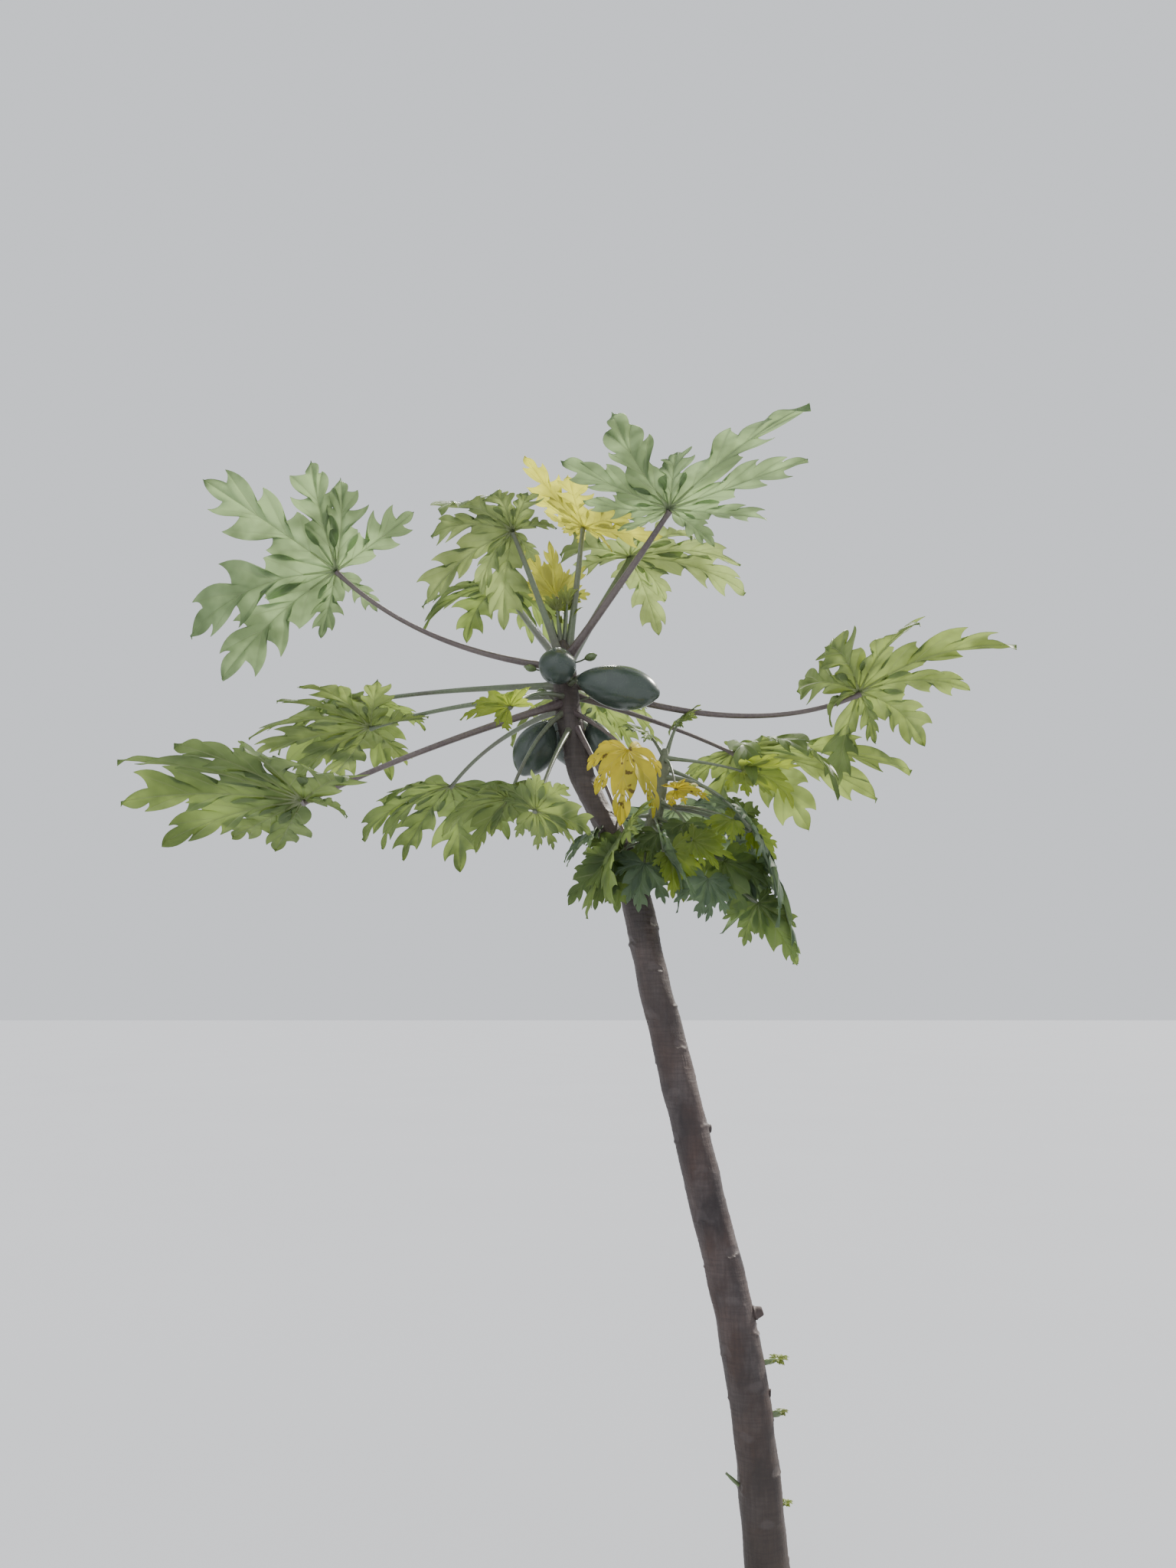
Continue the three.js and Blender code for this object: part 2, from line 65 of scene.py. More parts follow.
# A stub's radius at its tip, as a share of that at its foot, and how far it swells and shrinks.
STUB_TIP = 0.6
STUB_ROUGH = (0.8, 1.15)
# The size of the tiny leaves that sprout from a stub.
SPROUT_SIZES = {"leaves": 0.034, "bud": 0.022}

# The flared foot, the height below a stem's tip over which the relief fades, and the mesh of the bark.
FLARE_RIDGES = 5
FLARE_DEPTH = 0.16
FLARE_HEIGHT = 0.15
BARK_CLOSES = 0.03
BARK_SIDES = 120
BARK_STEP = 0.0036
SHOOT_SIDES = 64

# Leaf scars wind up the stem, one for each lost leaf.
SCAR_RISE = 0.043
SCAR_TURN = math.radians(137.5)
SCAR_HALF_WIDTH = 0.027
SCAR_HALF_HEIGHT = 0.0135
SCAR_RIM = 0.0032
SCAR_RIM_WIDTH = 0.26
SCAR_DENT = 0.0016
SCAR_RAGGED = 0.5
SCAR_SIZES = (0.8, 1.15)
SCAR_SHIFT = 0.006
SCAR_SWING = 0.15
TRUNK_SCARS = (0.12, 2.36)
SHOOT_SCARS = (1.96, 2.24)

# Relief of the bark: the scale of each noise along X, Y and Z, and how deep it goes. It is read
# on a plain tube, and the scars are smoother by a share.
WRINKLES = ((26, 26, 330), 0.0009)
CRACKS = ((240, 240, 16), 0.0011)
LUMPS = ((24, 24, 11), 0.0045)
RAGGED = (55, 55, 55)
NOISE_RADIUS = 0.05
SCARS_SMOOTH = 0.8

# Heights over which the bark turns from old to young, and up to which it is damp. The young colour starts
# low on the trunk partly as painted light, lightening the upper trunk against the crown's shade.
YOUNG_BARK = (1.1, 2.3)
DAMP_TO = 0.8


def leaf_row(stalk, blade, seed, tint, small=False, flushed=False, **more):
    """A leaf's measures, in millimetres and degrees, in the same order as its solid's.

    stalk: height of its foot, compass angle, reach and rise of the hub, sag (-) or arch (+).
    blade: length of the middle lobe, heading, pitch, roll and droop.
    tint: the colour of its blade. small: two lobes fewer. flushed: a stalk flushed purple.
    more: shares of the usual width, fold and twist of its lobes, or the lobes themselves,
    each with its angle, its length and its sag in hundredths.
    """
    foot, az, reach, rise, bow = stalk
    size, heading, pitch, roll, droop = blade
    return {
        "foot": foot * MM, "az": math.radians(az), "reach": reach * MM, "rise": rise * MM,
        "bow": bow * MM, "size": size * MM, "heading": math.radians(heading),
        "pitch": math.radians(pitch), "roll": math.radians(roll), "droop": math.radians(droop),
        "seed": seed, "small": small, "tint": tint, "flushed": flushed, **more,
    }


def small_leaf(stalk, blade, seed, tint, **more):
    return leaf_row(stalk, blade, seed, tint, small=True, **more)


CROWN_LEAVES = [
    leaf_row([2590, 185, 705, 290, -70], [425, 198, -1, 39, 19], 1783, "pale", flushed=True, lobes=[
        (-147, 180, 15), (-85, 230, 0), (-43, 495, 20), (-11, 485, 55), (37, 495, 0), (72, 425, 10),
        (90, 345, 0), (130, 310, -15)]),
    leaf_row([2628, 225, 215, 345, 5], [410, 194, 4, 18, 42], 3327, "light", lobes=[
        (-140, 125, 0), (-93, 355, 10), (-65, 245, 5), (-41, 360, 20), (15, 295, 15), (42, 370, 15),
        (69, 320, 5), (90, 260, -15), (132, 170, 0)]),
    leaf_row([2646, 12, 65, 408, 0], [310, 228, 27, -16, 8], 5762, "lemon", fold=0.4, width=1.15,
        lobes=[
            (-128, 90, 10), (-96, 140, -30), (-71, 190, -50), (-36, 210, -30), (-3, 305, -15),
            (30, 265, -5), (77, 315, -15), (103, 280, -30), (130, 125, 30)]),
    small_leaf([2640, 108, 78, 200, 0], [150, 16, 75, -110, 13], 583, "lemon", width=1.2, lobes=[
        (-92, 90, 50), (-66, 130, 20), (-43, 185, 50), (-18, 185, 35), (0, 105, 20), (24, 130, 60),
        (60, 110, 10)]),
    leaf_row([2622, 317, 425, 360, -8], [475, 275, 14, 8, 8], 3168, "pale", flushed=True, width=0.86,
        lobes=[
            (-130, 170, -30), (-84, 245, -40), (-54, 385, -25), (-30, 510, 0), (-5, 365, 30),
            (28, 550, 5), (62, 410, -15), (101, 325, -15), (134, 225, 10)]),
    leaf_row([2606, 57, 395, 475, 0], [435, 335, 10, -11, 40], 4913, "light", lobes=[
        (-143, 230, 0), (-111, 355, 5), (-61, 340, 20), (-29, 390, 10), (3, 405, 0), (29, 430, 5),
        (70, 220, 25), (95, 360, 5), (142, 150, 30)]),
    leaf_row([2505, 164, 660, -60, 18], [430, 201, 6, 15, 14], 798, "fresh", lobes=[
        (-138, 220, 5), (-84, 360, -5), (-58, 395, 0), (-32, 415, 0), (8, 390, 35), (31, 350, 5),
        (55, 425, 15), (81, 315, -15), (128, 220, -10)]),
    leaf_row([2470, 218, 850, -390, 15], [485, 205, 17, 12, 21], 1084, "mid", flushed=True, lobes=[
        (-92, 335, -25), (-72, 400, -35), (-52, 455, 10), (-26, 482, -5), (7, 460, 0), (30, 395, -5),
        (52, 410, 5), (93, 370, 5), (133, 150, 20)]),
    small_leaf([2490, 244, 355, -110, 25], [150, 231, 17, 34, 52], 2038, "lime", lobes=[
        (-118, 75, 60), (-74, 70, 20), (-24, 155, -20), (-3, 135, -20), (32, 120, 15), (62, 130, 5),
        (108, 80, 10)]),
    leaf_row([2440, 229, 260, -300, 45], [200, 212, 8, 25, 28], 2156, "fresh"),
    leaf_row([2385, 254, 340, -300, 25], [170, 331, -3, -51, 29], 4833, "fresh"),
    leaf_row([2540, 359, 895, -35, -85], [475, 345, 36, -23, 42], 4429, "fresh", flushed=True, lobes=[
        (-133, 210, 45), (-106, 395, 0), (-82, 450, -5), (-48, 385, 5), (1, 490, 5), (22, 390, -15),
        (58, 380, -20), (88, 200, 20), (134, 315, 10)]),
    leaf_row([2500, 20, 565, -135, 10], [450, 28, 3, -11, 38], 859, "fresh", flushed=True, width=0.76,
        lobes=[
            (-115, 355, 50), (-90, 415, 10), (-66, 455, 55), (-34, 560, -10), (-10, 520, 5),
            (24, 510, 10), (66, 395, 10), (113, 250, 0), (154, 180, 0)]),
    leaf_row([2440, 303, 310, -170, 10], [195, 290, -66, 0, 60], 1688, "gold", flushed=True, width=0.46,
        lobes=[
            (-135, 90, 10), (-98, 145, 15), (-60, 170, 20), (-20, 228, 25), (34, 205, 40),
            (92, 135, 10), (136, 95, 40)]),
    leaf_row([2395, 303, 270, -355, 25], [240, 222, -52, 30, 20], 455, "fresh", flushed=True),
    small_leaf([2612, 118, 470, 400, -10], [400, 118, 5, 0, 45], 11, "mid"),
    small_leaf([2570, 84, 640, 120, -20], [392, 84, -5, 0, 45], 12, "fresh"),
    small_leaf([2535, 150, 800, 60, 10], [420, 150, -8, 0, 40], 13, "mid"),
    small_leaf([2462, 136, 560, -170, 40], [380, 125, -20, 0, 40], 14, "mid"),
    small_leaf([2430, 52, 580, -200, 35], [330, 62, -20, 0, 40], 15, "deep"),
]
SHOOT_LEAVES = [
    small_leaf([2295, 354, 230, -40, 5], [130, 21, -5, -18, 29], 1720, "lime", lobes=[
        (-100, 105, 10), (-76, 140, -30), (-43, 170, -20), (-7, 195, 60), (23, 155, -5), (52, 125, -5),
        (100, 90, 10)]),
    small_leaf([2285, 287, 95, -100, 30], [100, 345, 5, -17, 17], 3171, "gold"),
    leaf_row([2235, 336, 280, -175, 45], [380, 30, -58, 28, 40], 1478, "deep", twist=0, fold=0.4,
        lobes=[
            (-143, 180, 10), (-98, 220, 10), (-70, 320, 5), (-32, 295, 10), (-8, 400, -5),
            (47, 385, 60), (76, 430, 65), (107, 270, 10), (145, 205, 10)]),
    small_leaf([2085, 277, 190, -95, 15], [165, 320, -50, -43, 8], 1298, "deep"),
    small_leaf([2262, 4, 220, -140, 25], [105, 326, -10, -53, 28], 5658, "mid"),
    small_leaf([2200, 95, 260, -60, 30], [250, 95, -25, 0, 40], 16, "deep"),
]
# Smaller leaves that crowd round the side shoot.
SMALL_LEAVES = [
    small_leaf([2080, 225, 122, -77, 12], [190, 185, -40, -50, 20], 31, "mid"),
    small_leaf([2050, 262, 160, -91, 12], [130, 260, -65, -10, 20], 32, "deep"),
    small_leaf([2085, 283, 186, -95, 12], [130, 0, -50, 75, 20], 45, "lime", lobes=[
        (-101, 70, 10), (-64, 80, -5), (-38, 135, 0), (-13, 150, 10), (17, 150, 15), (44, 90, 65),
        (100, 90, 10)]),
    small_leaf([2110, 303, 186, -86, 12], [130, 0, -20, 60, 20], 46, "lime", width=0.8, lobes=[
        (-102, 70, 10), (-52, 90, -30), (-25, 110, 10), (4, 135, -15), (38, 110, 15), (70, 90, 20),
        (103, 80, 10)]),
    small_leaf([2150, 336, 237, -55, 12], [110, 180, -20, -60, 20], 47, "lime", lobes=[
        (-103, 65, 10), (-61, 55, 30), (-28, 100, 15), (3, 95, 10), (26, 75, -10), (67, 80, 10),
        (103, 65, 5)]),
    small_leaf([2150, 345, 286, -88, 12], [110, 0, -45, 50, 20], 48, "lime", lobes=[
        (-80, 75, 10), (-35, 90, 10), (2, 120, 25), (30, 90, -5), (72, 80, 25)]),
    small_leaf([2080, 332, 226, -109, 12], [150, 340, -50, 50, 25], 35, "mid"),
    small_leaf([2040, 313, 232, -126, 12], [120, 290, -70, 0, 15], 36, "deep"),
    small_leaf([2090, 345, 254, -125, 12], [150, 0, -75, 80, 15], 51, "deep", lobes=[
        (-108, 120, 10), (-70, 115, 10), (-40, 135, 25), (5, 160, 10), (29, 170, 35), (56, 140, 40),
        (86, 125, 30)]),
    small_leaf([2050, 340, 322, -199, 12], [170, 0, -55, 75, 15], 49, "mid", lobes=[
        (-106, 115, 10), (-68, 135, 0), (-34, 105, -20), (5, 205, -15), (32, 135, 25), (71, 90, 10),
        (104, 70, 25)]),
    small_leaf([2160, 312, 114, -74, 12], [110, 280, -40, 0, 20], 38, "mid"),
    small_leaf([2110, 273, 126, -60, 12], [100, 250, -50, -20, 20], 39, "mid"),
    small_leaf([2040, 228, 162, -63, 12], [150, 180, -40, -75, 15], 50, "mid", lobes=[
        (-107, 80, 10), (-64, 100, 45), (-32, 130, 30), (-5, 185, 5), (25, 155, 10), (56, 110, -10),
        (112, 80, 10)]),
    small_leaf([2310, 140, 60, 70, 5], [110, 150, 35, 0, 20], 41, "fresh"),
    small_leaf([2312, 30, 45, 95, 5], [90, 20, 50, 0, 15], 42, "fresh"),
    small_leaf([2120, 170, 170, -40, 15], [150, 170, -20, 0, 35], 43, "deep"),
    small_leaf([2160, 60, 200, -30, 15], [160, 60, -15, 0, 35], 44, "mid"),
]

# Lobes of a blade, from one side of the stalk round to the other.
LOBE_ANGLES = [-143, -104, -70, -35, 0, 35, 70, 104, 143]
LOBE_LENGTHS = [0.55, 0.72, 0.86, 0.96, 1, 0.96, 0.86, 0.72, 0.55]
LOBE_SWING = 12
LOBE_STRETCH = 0.2
LOBE_FOLD = 0.3
SINUS = 0.24
BASE_SINUS = 0.14
BASE_SPREAD = math.radians(22)

# One side of a lobe, in shares of its length: where a side vein leaves the rib, the tip that it
# runs to, where the notch beyond it looks from, and that notch.
LOBULES = [
    (0.21, (0.44, 0.145), 0.33, (0.465, 0.058)),
    (0.39, (0.69, 0.215), 0.53, (0.655, 0.07)),
    (0.61, (0.885, 0.15), 0.73, (0.84, 0.048)),
]
# The tip may slide along by this much, and the tip and the notch lie in and out by these shares.
LOBULE_SLIDE = 0.025
TIP_SPREAD = (0.8, 1.15)
NOTCH_SPREAD = (0.75, 1.25)
# Blades shorter than this have no innermost side vein.
FEW_VEINS = 0.22

# Half the angle that a lobe of the usual width has to itself, and the widths that follow from it.
HALF_SECTOR = math.radians(17.5)
WIDTH_RANGE = (0.6, 1.15)

# The web that joins a lobe to the next, and how the edge swells and draws in beyond it.
WEB_ROWS = 7
WEB_RIB = 0.55
WEB_FADE = 0.1
BELLY = 0.3
HOLLOW = -0.3

# Rows up to the tip of a lobule and beyond it, and columns from rib to edge.
TO_TIP = [0.14, 0.28, 0.42, 0.56, 0.7, 0.83, 0.94, 1.0]
FROM_TIP = [0.07, 0.22, 0.4, 0.6, 0.8, 1.0]
ACROSS = [0.16, 0.34, 0.54, 0.77, 1.0]

# The tiniest blades carry fewer rows and columns.
TINY = 0.08
TINY_TO_TIP = [0.3, 0.6, 0.85, 1.0]
TINY_FROM_TIP = [0.2, 0.6, 1.0]
TINY_ACROSS = [0.5, 1.0]

# Relief of a blade, in shares of a lobe's length, and its ribs.
PUCKER = 0.013
RUFFLE = 0.016
CURL = 0.03
TWIST = 0.7
SWAY = 0.16
SAG = 0.32
WIDTH = 0.92
WAVES = (1.6, 2.6)
RIB_HALF_WIDTH = 0.0034
RIB_DEPTH = 0.0062
RIB_TAPER = 0.75
RIB_THINS = 0.8
VEIN_DEPTH = 0.5
VEIN_COLOUR = 0.9
BLADE_SHARE = 0.24
BLADE_REFERENCE = 0.45
# The least that a lobe bends, and the most, as a share of the way to straight down.
LEAST_BEND = 0.02
MOST_BEND = 0.85

# Holes in an old leaf: where they start along a side of a lobe, and how far that may shift.
HOLES_FROM = (0.34, 0.5, 0.66)
HOLE_SHIFT = 0.14

# Leaf stalks.
STALK_FOOT_R = 0.0125
STALK_TIP_R = 0.007
STALK_REFERENCE = 0.7
STALK_BEND_AT = 0.62
STEEP = 0.7
STOUT = 1.28
FOOT_SUNK = 0.7
STALK_CUTS = 17
STALK_SHARE_LIMIT = 1.2
STALK_TAPER = (1.6, 0.6)
SWELL_LENGTH = 0.022
FOOT_SWELL = 0.35
TIP_SWELL = 0.25

# Fruits: name, height of the stalk on the trunk, middle, the way the tip points, length and width.
FRUITS = [
    ("large", 2520, (-395, -105, 2500), (1, -0.1, -0.22), 250, 132),
    ("left", 2430, (-640, -8, 2335), (-0.45, -0.05, -0.9), 185, 126),
    ("small", 2610, (-573, -105, 2566), (-0.1, -0.4, -0.9), 120, 112),
    ("right", 2440, (-450, 20, 2350), (0.25, 0.1, -0.95), 150, 104),
    ("back", 2500, (-548, 116, 2400), (0.05, 0.3, -0.95), 180, 112),
]
# How far a fruit's girth sits towards its tip, and how sharp its ends are.
FRUIT_BELLY = 1.18
FRUIT_ENDS = 0.49
FRUIT_RIDGES = 5
FRUIT_RIDGE_DEPTH = 0.028
FRUIT_POINT_FROM = 0.975
FRUIT_POINT = 0.005

# The stalk between trunk and fruit: its radius, where it bends and how far up, how deep its end
# sits in the fruit and how far its ends swell. A flat cap sits where it meets the fruit.
NECK_R = 0.009
NECK_BEND_AT = 0.7
NECK_ARCH = 0.012
NECK_SUNK = 0.008
NECK_SWELL = 0.35
CALYX_R = 0.017
CALYX_DEPTH = 0.006
CALYX_EDGE = 0.0012

# Buds: how many, the height of the lowest one, and how far each is above the last.
BUDS = 11
BUDS_FROM = 2.37
BUD_RISE = 0.023
BUD_REACH = (0.03, 0.06)
BUD_LIFT = (-0.01, 0.03)
BUD_TILT = (-0.6, 0.6)
BUD_STALK_SAG = 0.006
BUD_SIZE = (0.01, 0.019)
BUD_LENGTH = 2.4
BUD_WIDTH = 1.5
BUD_STALK_R = 0.0028

# Young leaves that stand up from the trunk's tip: compass angle, lean and length.
YOUNG_LEAVES = [
    (232, 16, 150), (318, 9, 185), (75, 14, 170), (182, 26, 120), (20, 22, 130), (150, 8, 95),
]
# Their feet, out and down from the trunk's tip, how far their stalks bend, and how much of their
# length is blade and how much stalk.
YOUNG_FOOT = (0.004, 0.02)
YOUNG_BEND = 0.008
YOUNG_BLADE_SHARE = 0.4
YOUNG_STALK_SHARE = 0.62
YOUNG_STALK_R = 0.0062
YOUNG_STALK_TAPER = 0.0028

DOWN = np.array([0.0, 0.0, -1.0])
UP = -DOWN


def unit(vector):
    return vector / np.linalg.norm(vector)


def turned(vector, axis, angles):
    """The vector turned about a unit axis by each of the angles."""
    c = np.cos(angles)[..., None]
    s = np.sin(angles)[..., None]
    return vector * c + np.cross(axis, vector) * s + axis * (axis @ vector) * (1 - c)


def compass(angle):
    return np.array([math.cos(angle), math.sin(angle), 0.0])


def series(seed):
    """A repeatable series of numbers from -1 to 1, the same as the solids use."""
    state = seed * 2654435761 % 2**32
    while True:
        state = (state * 1664525 + 1013904223) % 2**32
        yield state / 2**31 - 1


# Placing leaves.


def stem_at(axis, height):
    """The middle and the radius of a stem at a height."""
    heights, xs, ys, radii = (np.array(column) * MM for column in zip(*axis))
    middle = np.array([np.interp(height, heights, xs), np.interp(height, heights, ys), height])
    return middle, np.interp(height, heights, radii)


def place_leaf(row, axis):
    """Where a leaf's stalk starts, bends and ends, and its blade's axes."""
    middle, radius = stem_at(axis, row["foot"])
    out = compass(row["az"])
    foot = middle + out * FOOT_SUNK * radius
    hub = middle + out * row["reach"] + np.array([0, 0, row["rise"]])
    control = foot + (hub - foot) * STALK_BEND_AT
    control[2] += 2 * row["bow"]
    heading, pitch, roll = row["heading"], row["pitch"], row["roll"]
    ahead = compass(heading) * math.cos(pitch) + np.array([0, 0, math.sin(pitch)])
    level = compass(heading + math.pi / 2)
    left = level * math.cos(roll) + np.cross(ahead, level) * math.sin(roll)
    return {
        **row, "foot_at": foot, "control": control, "hub": hub,
        "ahead": ahead, "left": left, "normal": np.cross(ahead, left),
    }


def leaf_lobes(leaf):
    """Each lobe's angle in the blade, in radians, its length, and its twist, sway and sag.

    A leaf's fan, where it has one, is a share of the usual angles between its lobes.
    """
    chance = np.random.RandomState(leaf["seed"] % 9973)
    if "lobes" in leaf:
        shapes = [(math.radians(angle), length * MM, sag / 100) for angle, length, sag in leaf["lobes"]]
    else:
        vary = series(leaf["seed"])
        shapes = []
        for angle, share in zip(LOBE_ANGLES, LOBE_LENGTHS):
            turn = math.radians(angle + LOBE_SWING * next(vary)) * leaf.get("fan", 1)
            length = leaf["size"] * share * (1 + LOBE_STRETCH * next(vary))
            shapes.append((turn, length, chance.uniform(-0.1, 1) * SAG))
        shapes = shapes[1:-1] if leaf["small"] else shapes
    lobes = []
    for turn, length, sag in shapes:
        twist, sway = chance.uniform(-1, 1, 2) * (TWIST * leaf.get("twist", 1), SWAY)
        lobes.append((turn, length, twist, sway, sag))
    return lobes


def lobe_surface(leaf, angle, length, twist=0, sway=0, sag=0):
    """A function from shares along and across a lobe to points and face normals."""
    along = leaf["ahead"] * math.cos(angle) + leaf["left"] * math.sin(angle)
    towards = unit(DOWN - (DOWN @ along) * along)
    bend = max(LEAST_BEND, min(leaf["droop"], MOST_BEND * math.acos(np.clip(along @ DOWN, -1, 1))))
    hinge = np.cross(along, towards)
    across = np.cross(leaf["normal"], along)

    def at(s, t):
        turn = bend * s
        free = np.maximum(0, s - SINUS)
        point = np.multiply.outer(np.sin(turn) * length / bend, along)
        point += np.multiply.outer((1 - np.cos(turn)) * length / bend, towards)
        normal = turned(leaf["normal"], hinge, turn)
        point += turned(across, hinge, turn) * (length * (t + sway * free**2))[..., None]
        lift = np.abs(t) * leaf.get("fold", 1) * LOBE_FOLD + twist * free * t - sag * free**2
        point += normal * (length * lift)[..., None]
        return leaf["hub"] + point, normal

    return at


# Blades.


def stretch(start, end, bulge, shares):
    """Rows from one mark to the next: a place on the rib, and the edge's place along and across.

    A mark is a place on the rib and a point of the edge. The edge between them swells by its bulge.
    """
    (rib_a, edge_a), (rib_b, edge_b) = start, end
    a, b = np.array(edge_a), np.array(edge_b)
    chord = b - a
    middle = (a + b) / 2 + bulge * np.array([-chord[1], chord[0]])
    u = np.array(shares)[:, None]
    edge = (1 - u) ** 2 * a + 2 * u * (1 - u) * middle + u**2 * b
    return np.hstack([rib_a + (rib_b - rib_a) * u, edge])


def side_rows(sinus, lobules, width, chance, to_tip, from_tip):
    """The rows of one side of a lobe, from the hub to the tip.

    Columns: place on the rib, place of the edge along and across, how near the row is to a
    lobule's tip, whether a side vein runs along it, and how free of the next lobe it is.
    """
    rib = WEB_RIB * sinus[0]
    share = np.linspace(0, 1, WEB_ROWS)[:, None]
    web = (rib * share, sinus[0] * share, sinus[1] * share, 0 * share, 0 * share, 0 * share)
    rows = [np.hstack(web)]
    last = (rib, sinus)

    def add(start, end, bulge, shares, tip_share, vein):
        made = stretch(start, end, bulge, shares)
        veins = np.zeros(len(made))
        veins[-1] = vein
        rows.append(np.column_stack([made, tip_share, veins, np.ones(len(made))]))

    rising, falling = np.array(to_tip), 1 - np.array(from_tip)
    for vein, tip, rib, notch in lobules:
        slide = chance.uniform(-LOBULE_SLIDE, LOBULE_SLIDE)
        tip = (tip[0] + slide, tip[1] * width * chance.uniform(*TIP_SPREAD))
        notch = (notch[0] + slide, notch[1] * chance.uniform(*NOTCH_SPREAD))
        add(last, (vein, tip), BELLY, to_tip, rising, 1)
        add((vein, tip), (rib, notch), HOLLOW, from_tip, falling, 0)
        last = (rib, notch)
    add(last, (1.0, (1.0, 0.0)), BELLY, to_tip, rising, 0)
    return np.vstack(rows)


def side_grid(leaf, lobe, hand, sinus_angle, sinus_reach, shared):
    """Points, ribs, veins and edges of one side of a lobe, as a grid of rows by columns."""
    angle, length, *_ = lobe
    swing = abs(sinus_angle - angle)
    sinus = (sinus_reach * math.cos(swing) / length, sinus_reach * math.sin(swing) / length)
    chance = np.random.RandomState(leaf["seed"] * 31 + int(abs(angle) * 100) + (7 if hand > 0 else 0))
    width = WIDTH * leaf.get("width", 1) * np.clip(swing / HALF_SECTOR if shared else 1, *WIDTH_RANGE)
    lobules = LOBULES[1:] if leaf["size"] < FEW_VEINS else LOBULES
    tiny = leaf["size"] < TINY
    shares = (TINY_TO_TIP, TINY_FROM_TIP) if tiny else (TO_TIP, FROM_TIP)
    rib, edge_s, edge_t, near_tip, vein, free = side_rows(sinus, lobules, width, chance, *shares).T
    reach = np.hypot(edge_s - rib, edge_t) * length
    half = RIB_HALF_WIDTH * (leaf["size"] / BLADE_REFERENCE) ** 0.5 * (1 - RIB_TAPER * rib)
    first = np.clip(half / np.maximum(reach, 1e-6), 0, 0.3)
    further = [first + (1 - first) * share for share in (TINY_ACROSS if tiny else ACROSS)]
    v = np.column_stack([0 * first, first, *further])
    s = rib[:, None] + (edge_s - rib)[:, None] * v
    t = edge_t[:, None] * v
    at = lobe_surface(leaf, *lobe)
    points, normals = at(s, hand * t)
    if shared:
        in_web = free == 0
        share = np.clip(rib / (WEB_RIB * sinus[0]), 0, 1)
        seam = lobe_surface(leaf, sinus_angle, sinus_reach / SINUS)(SINUS * share, 0 * share)[0]
        edge = at(np.where(in_web, edge_s, sinus[0]), hand * np.where(in_web, edge_t, sinus[1]))[0]
        fade = np.where(in_web, 1, np.clip(1 - (rib - WEB_RIB * sinus[0]) / WEB_FADE, 0, 1))
        points += v[..., None] * ((seam - edge) * fade[:, None])[:, None, :]
    waves = np.sin(2 * math.pi * chance.uniform(*WAVES) * rib + chance.uniform(0, 2 * math.pi))
    lift = PUCKER * (1 - near_tip[:, None]) * np.sin(math.pi * v)
    lift += RUFFLE * free[:, None] * v**2 * waves[:, None]
    lift -= CURL * free[:, None] * v**2 * near_tip[:, None]
    points += normals * (lift * length)[..., None]
    thick = np.zeros_like(v)
    thick[:, 0] = 1 - RIB_THINS * rib
    thick = np.maximum(thick, VEIN_DEPTH * vein[:, None] * (1 - v) * (1 - 0.5 * rib[:, None]))
    colour = np.maximum(np.where(v == 0, 1.0, 0.0), VEIN_COLOUR * vein[:, None] * (1 - v) ** 0.5)
    return points, thick, colour, v * free[:, None]


def worn_cells(leaf, lobe, hand, rows, columns):
    """The cells of one side of a lobe that are holes in an old leaf."""
    chance = np.random.RandomState(leaf["seed"] + 7 * lobe + hand)
    cells = set()
    for start in HOLES_FROM:
        r = int(rows * (start + chance.uniform(0, HOLE_SHIFT)))
        c = chance.randint(2, columns - 2)
        cells |= {(r, c), (r + 1, c)}
        if chance.rand() < 0.5:
            cells |= {(r, c + 1), (r + 1, c + 1)}
    return {(r, c) for r, c in cells if c < columns - 2}


def blade_sheet(leaf):
    """Points, faces and the three attributes of a whole blade, one lobe side after another."""
    lobes = leaf_lobes(leaf)
    points, faces, values = [], [], []
    count = 0
    for i, lobe in enumerate(lobes):
        for hand, other in ((-1, i - 1), (1, i + 1)):
            shared = 0 <= other < len(lobes)
            if shared:
                sinus_angle = (lobe[0] + lobes[other][0]) / 2
                sinus_reach = SINUS * min(lobe[1], lobes[other][1])
            else:
                sinus_angle = lobe[0] + hand * BASE_SPREAD
                sinus_reach = BASE_SINUS * lobe[1]
            grid, *marks = side_grid(leaf, lobe, hand, sinus_angle, sinus_reach, shared)
            rows, columns = grid.shape[:2]
            holes = worn_cells(leaf, i, hand, rows, columns) if leaf.get("tint") == "gold" else ()
            points.append(grid.reshape(-1, 3))
            values.append(np.column_stack([mark.reshape(-1) for mark in marks]))
            for r in range(rows - 1):
                for c in range(columns - 1):
                    if (r, c) in holes:
                        continue
                    a = count + r * columns + c
                    corners = (a, a + columns, a + columns + 1, a + 1)
                    faces.append(corners if hand > 0 else corners[::-1])
            count += rows * columns
    return np.vstack(points), faces, np.vstack(values)


def select_only(*pieces):
    bpy.ops.object.select_all(action="DESELECT")
    for piece in pieces:
        piece.select_set(True)
    bpy.context.view_layer.objects.active = pieces[0]


def mesh_piece(name, points, faces, attributes):
    """A new object from points and faces, with named numbers kept on its points."""
    mesh = bpy.data.meshes.new(name)
    mesh.from_pydata([tuple(p) for p in points], [], faces)
    for label, numbers in attributes:
        mesh.attributes.new(label, "FLOAT", "POINT").data.foreach_set("value", numbers.astype(np.float32))
    piece = bpy.data.objects.new(name, mesh)
    bpy.context.scene.collection.objects.link(piece)
    select_only(piece)
    return piece


def smooth(degrees):
    """Smooths the active piece, but for edges sharper than the angle."""
    bpy.ops.object.shade_smooth_by_angle(angle=math.radians(degrees))


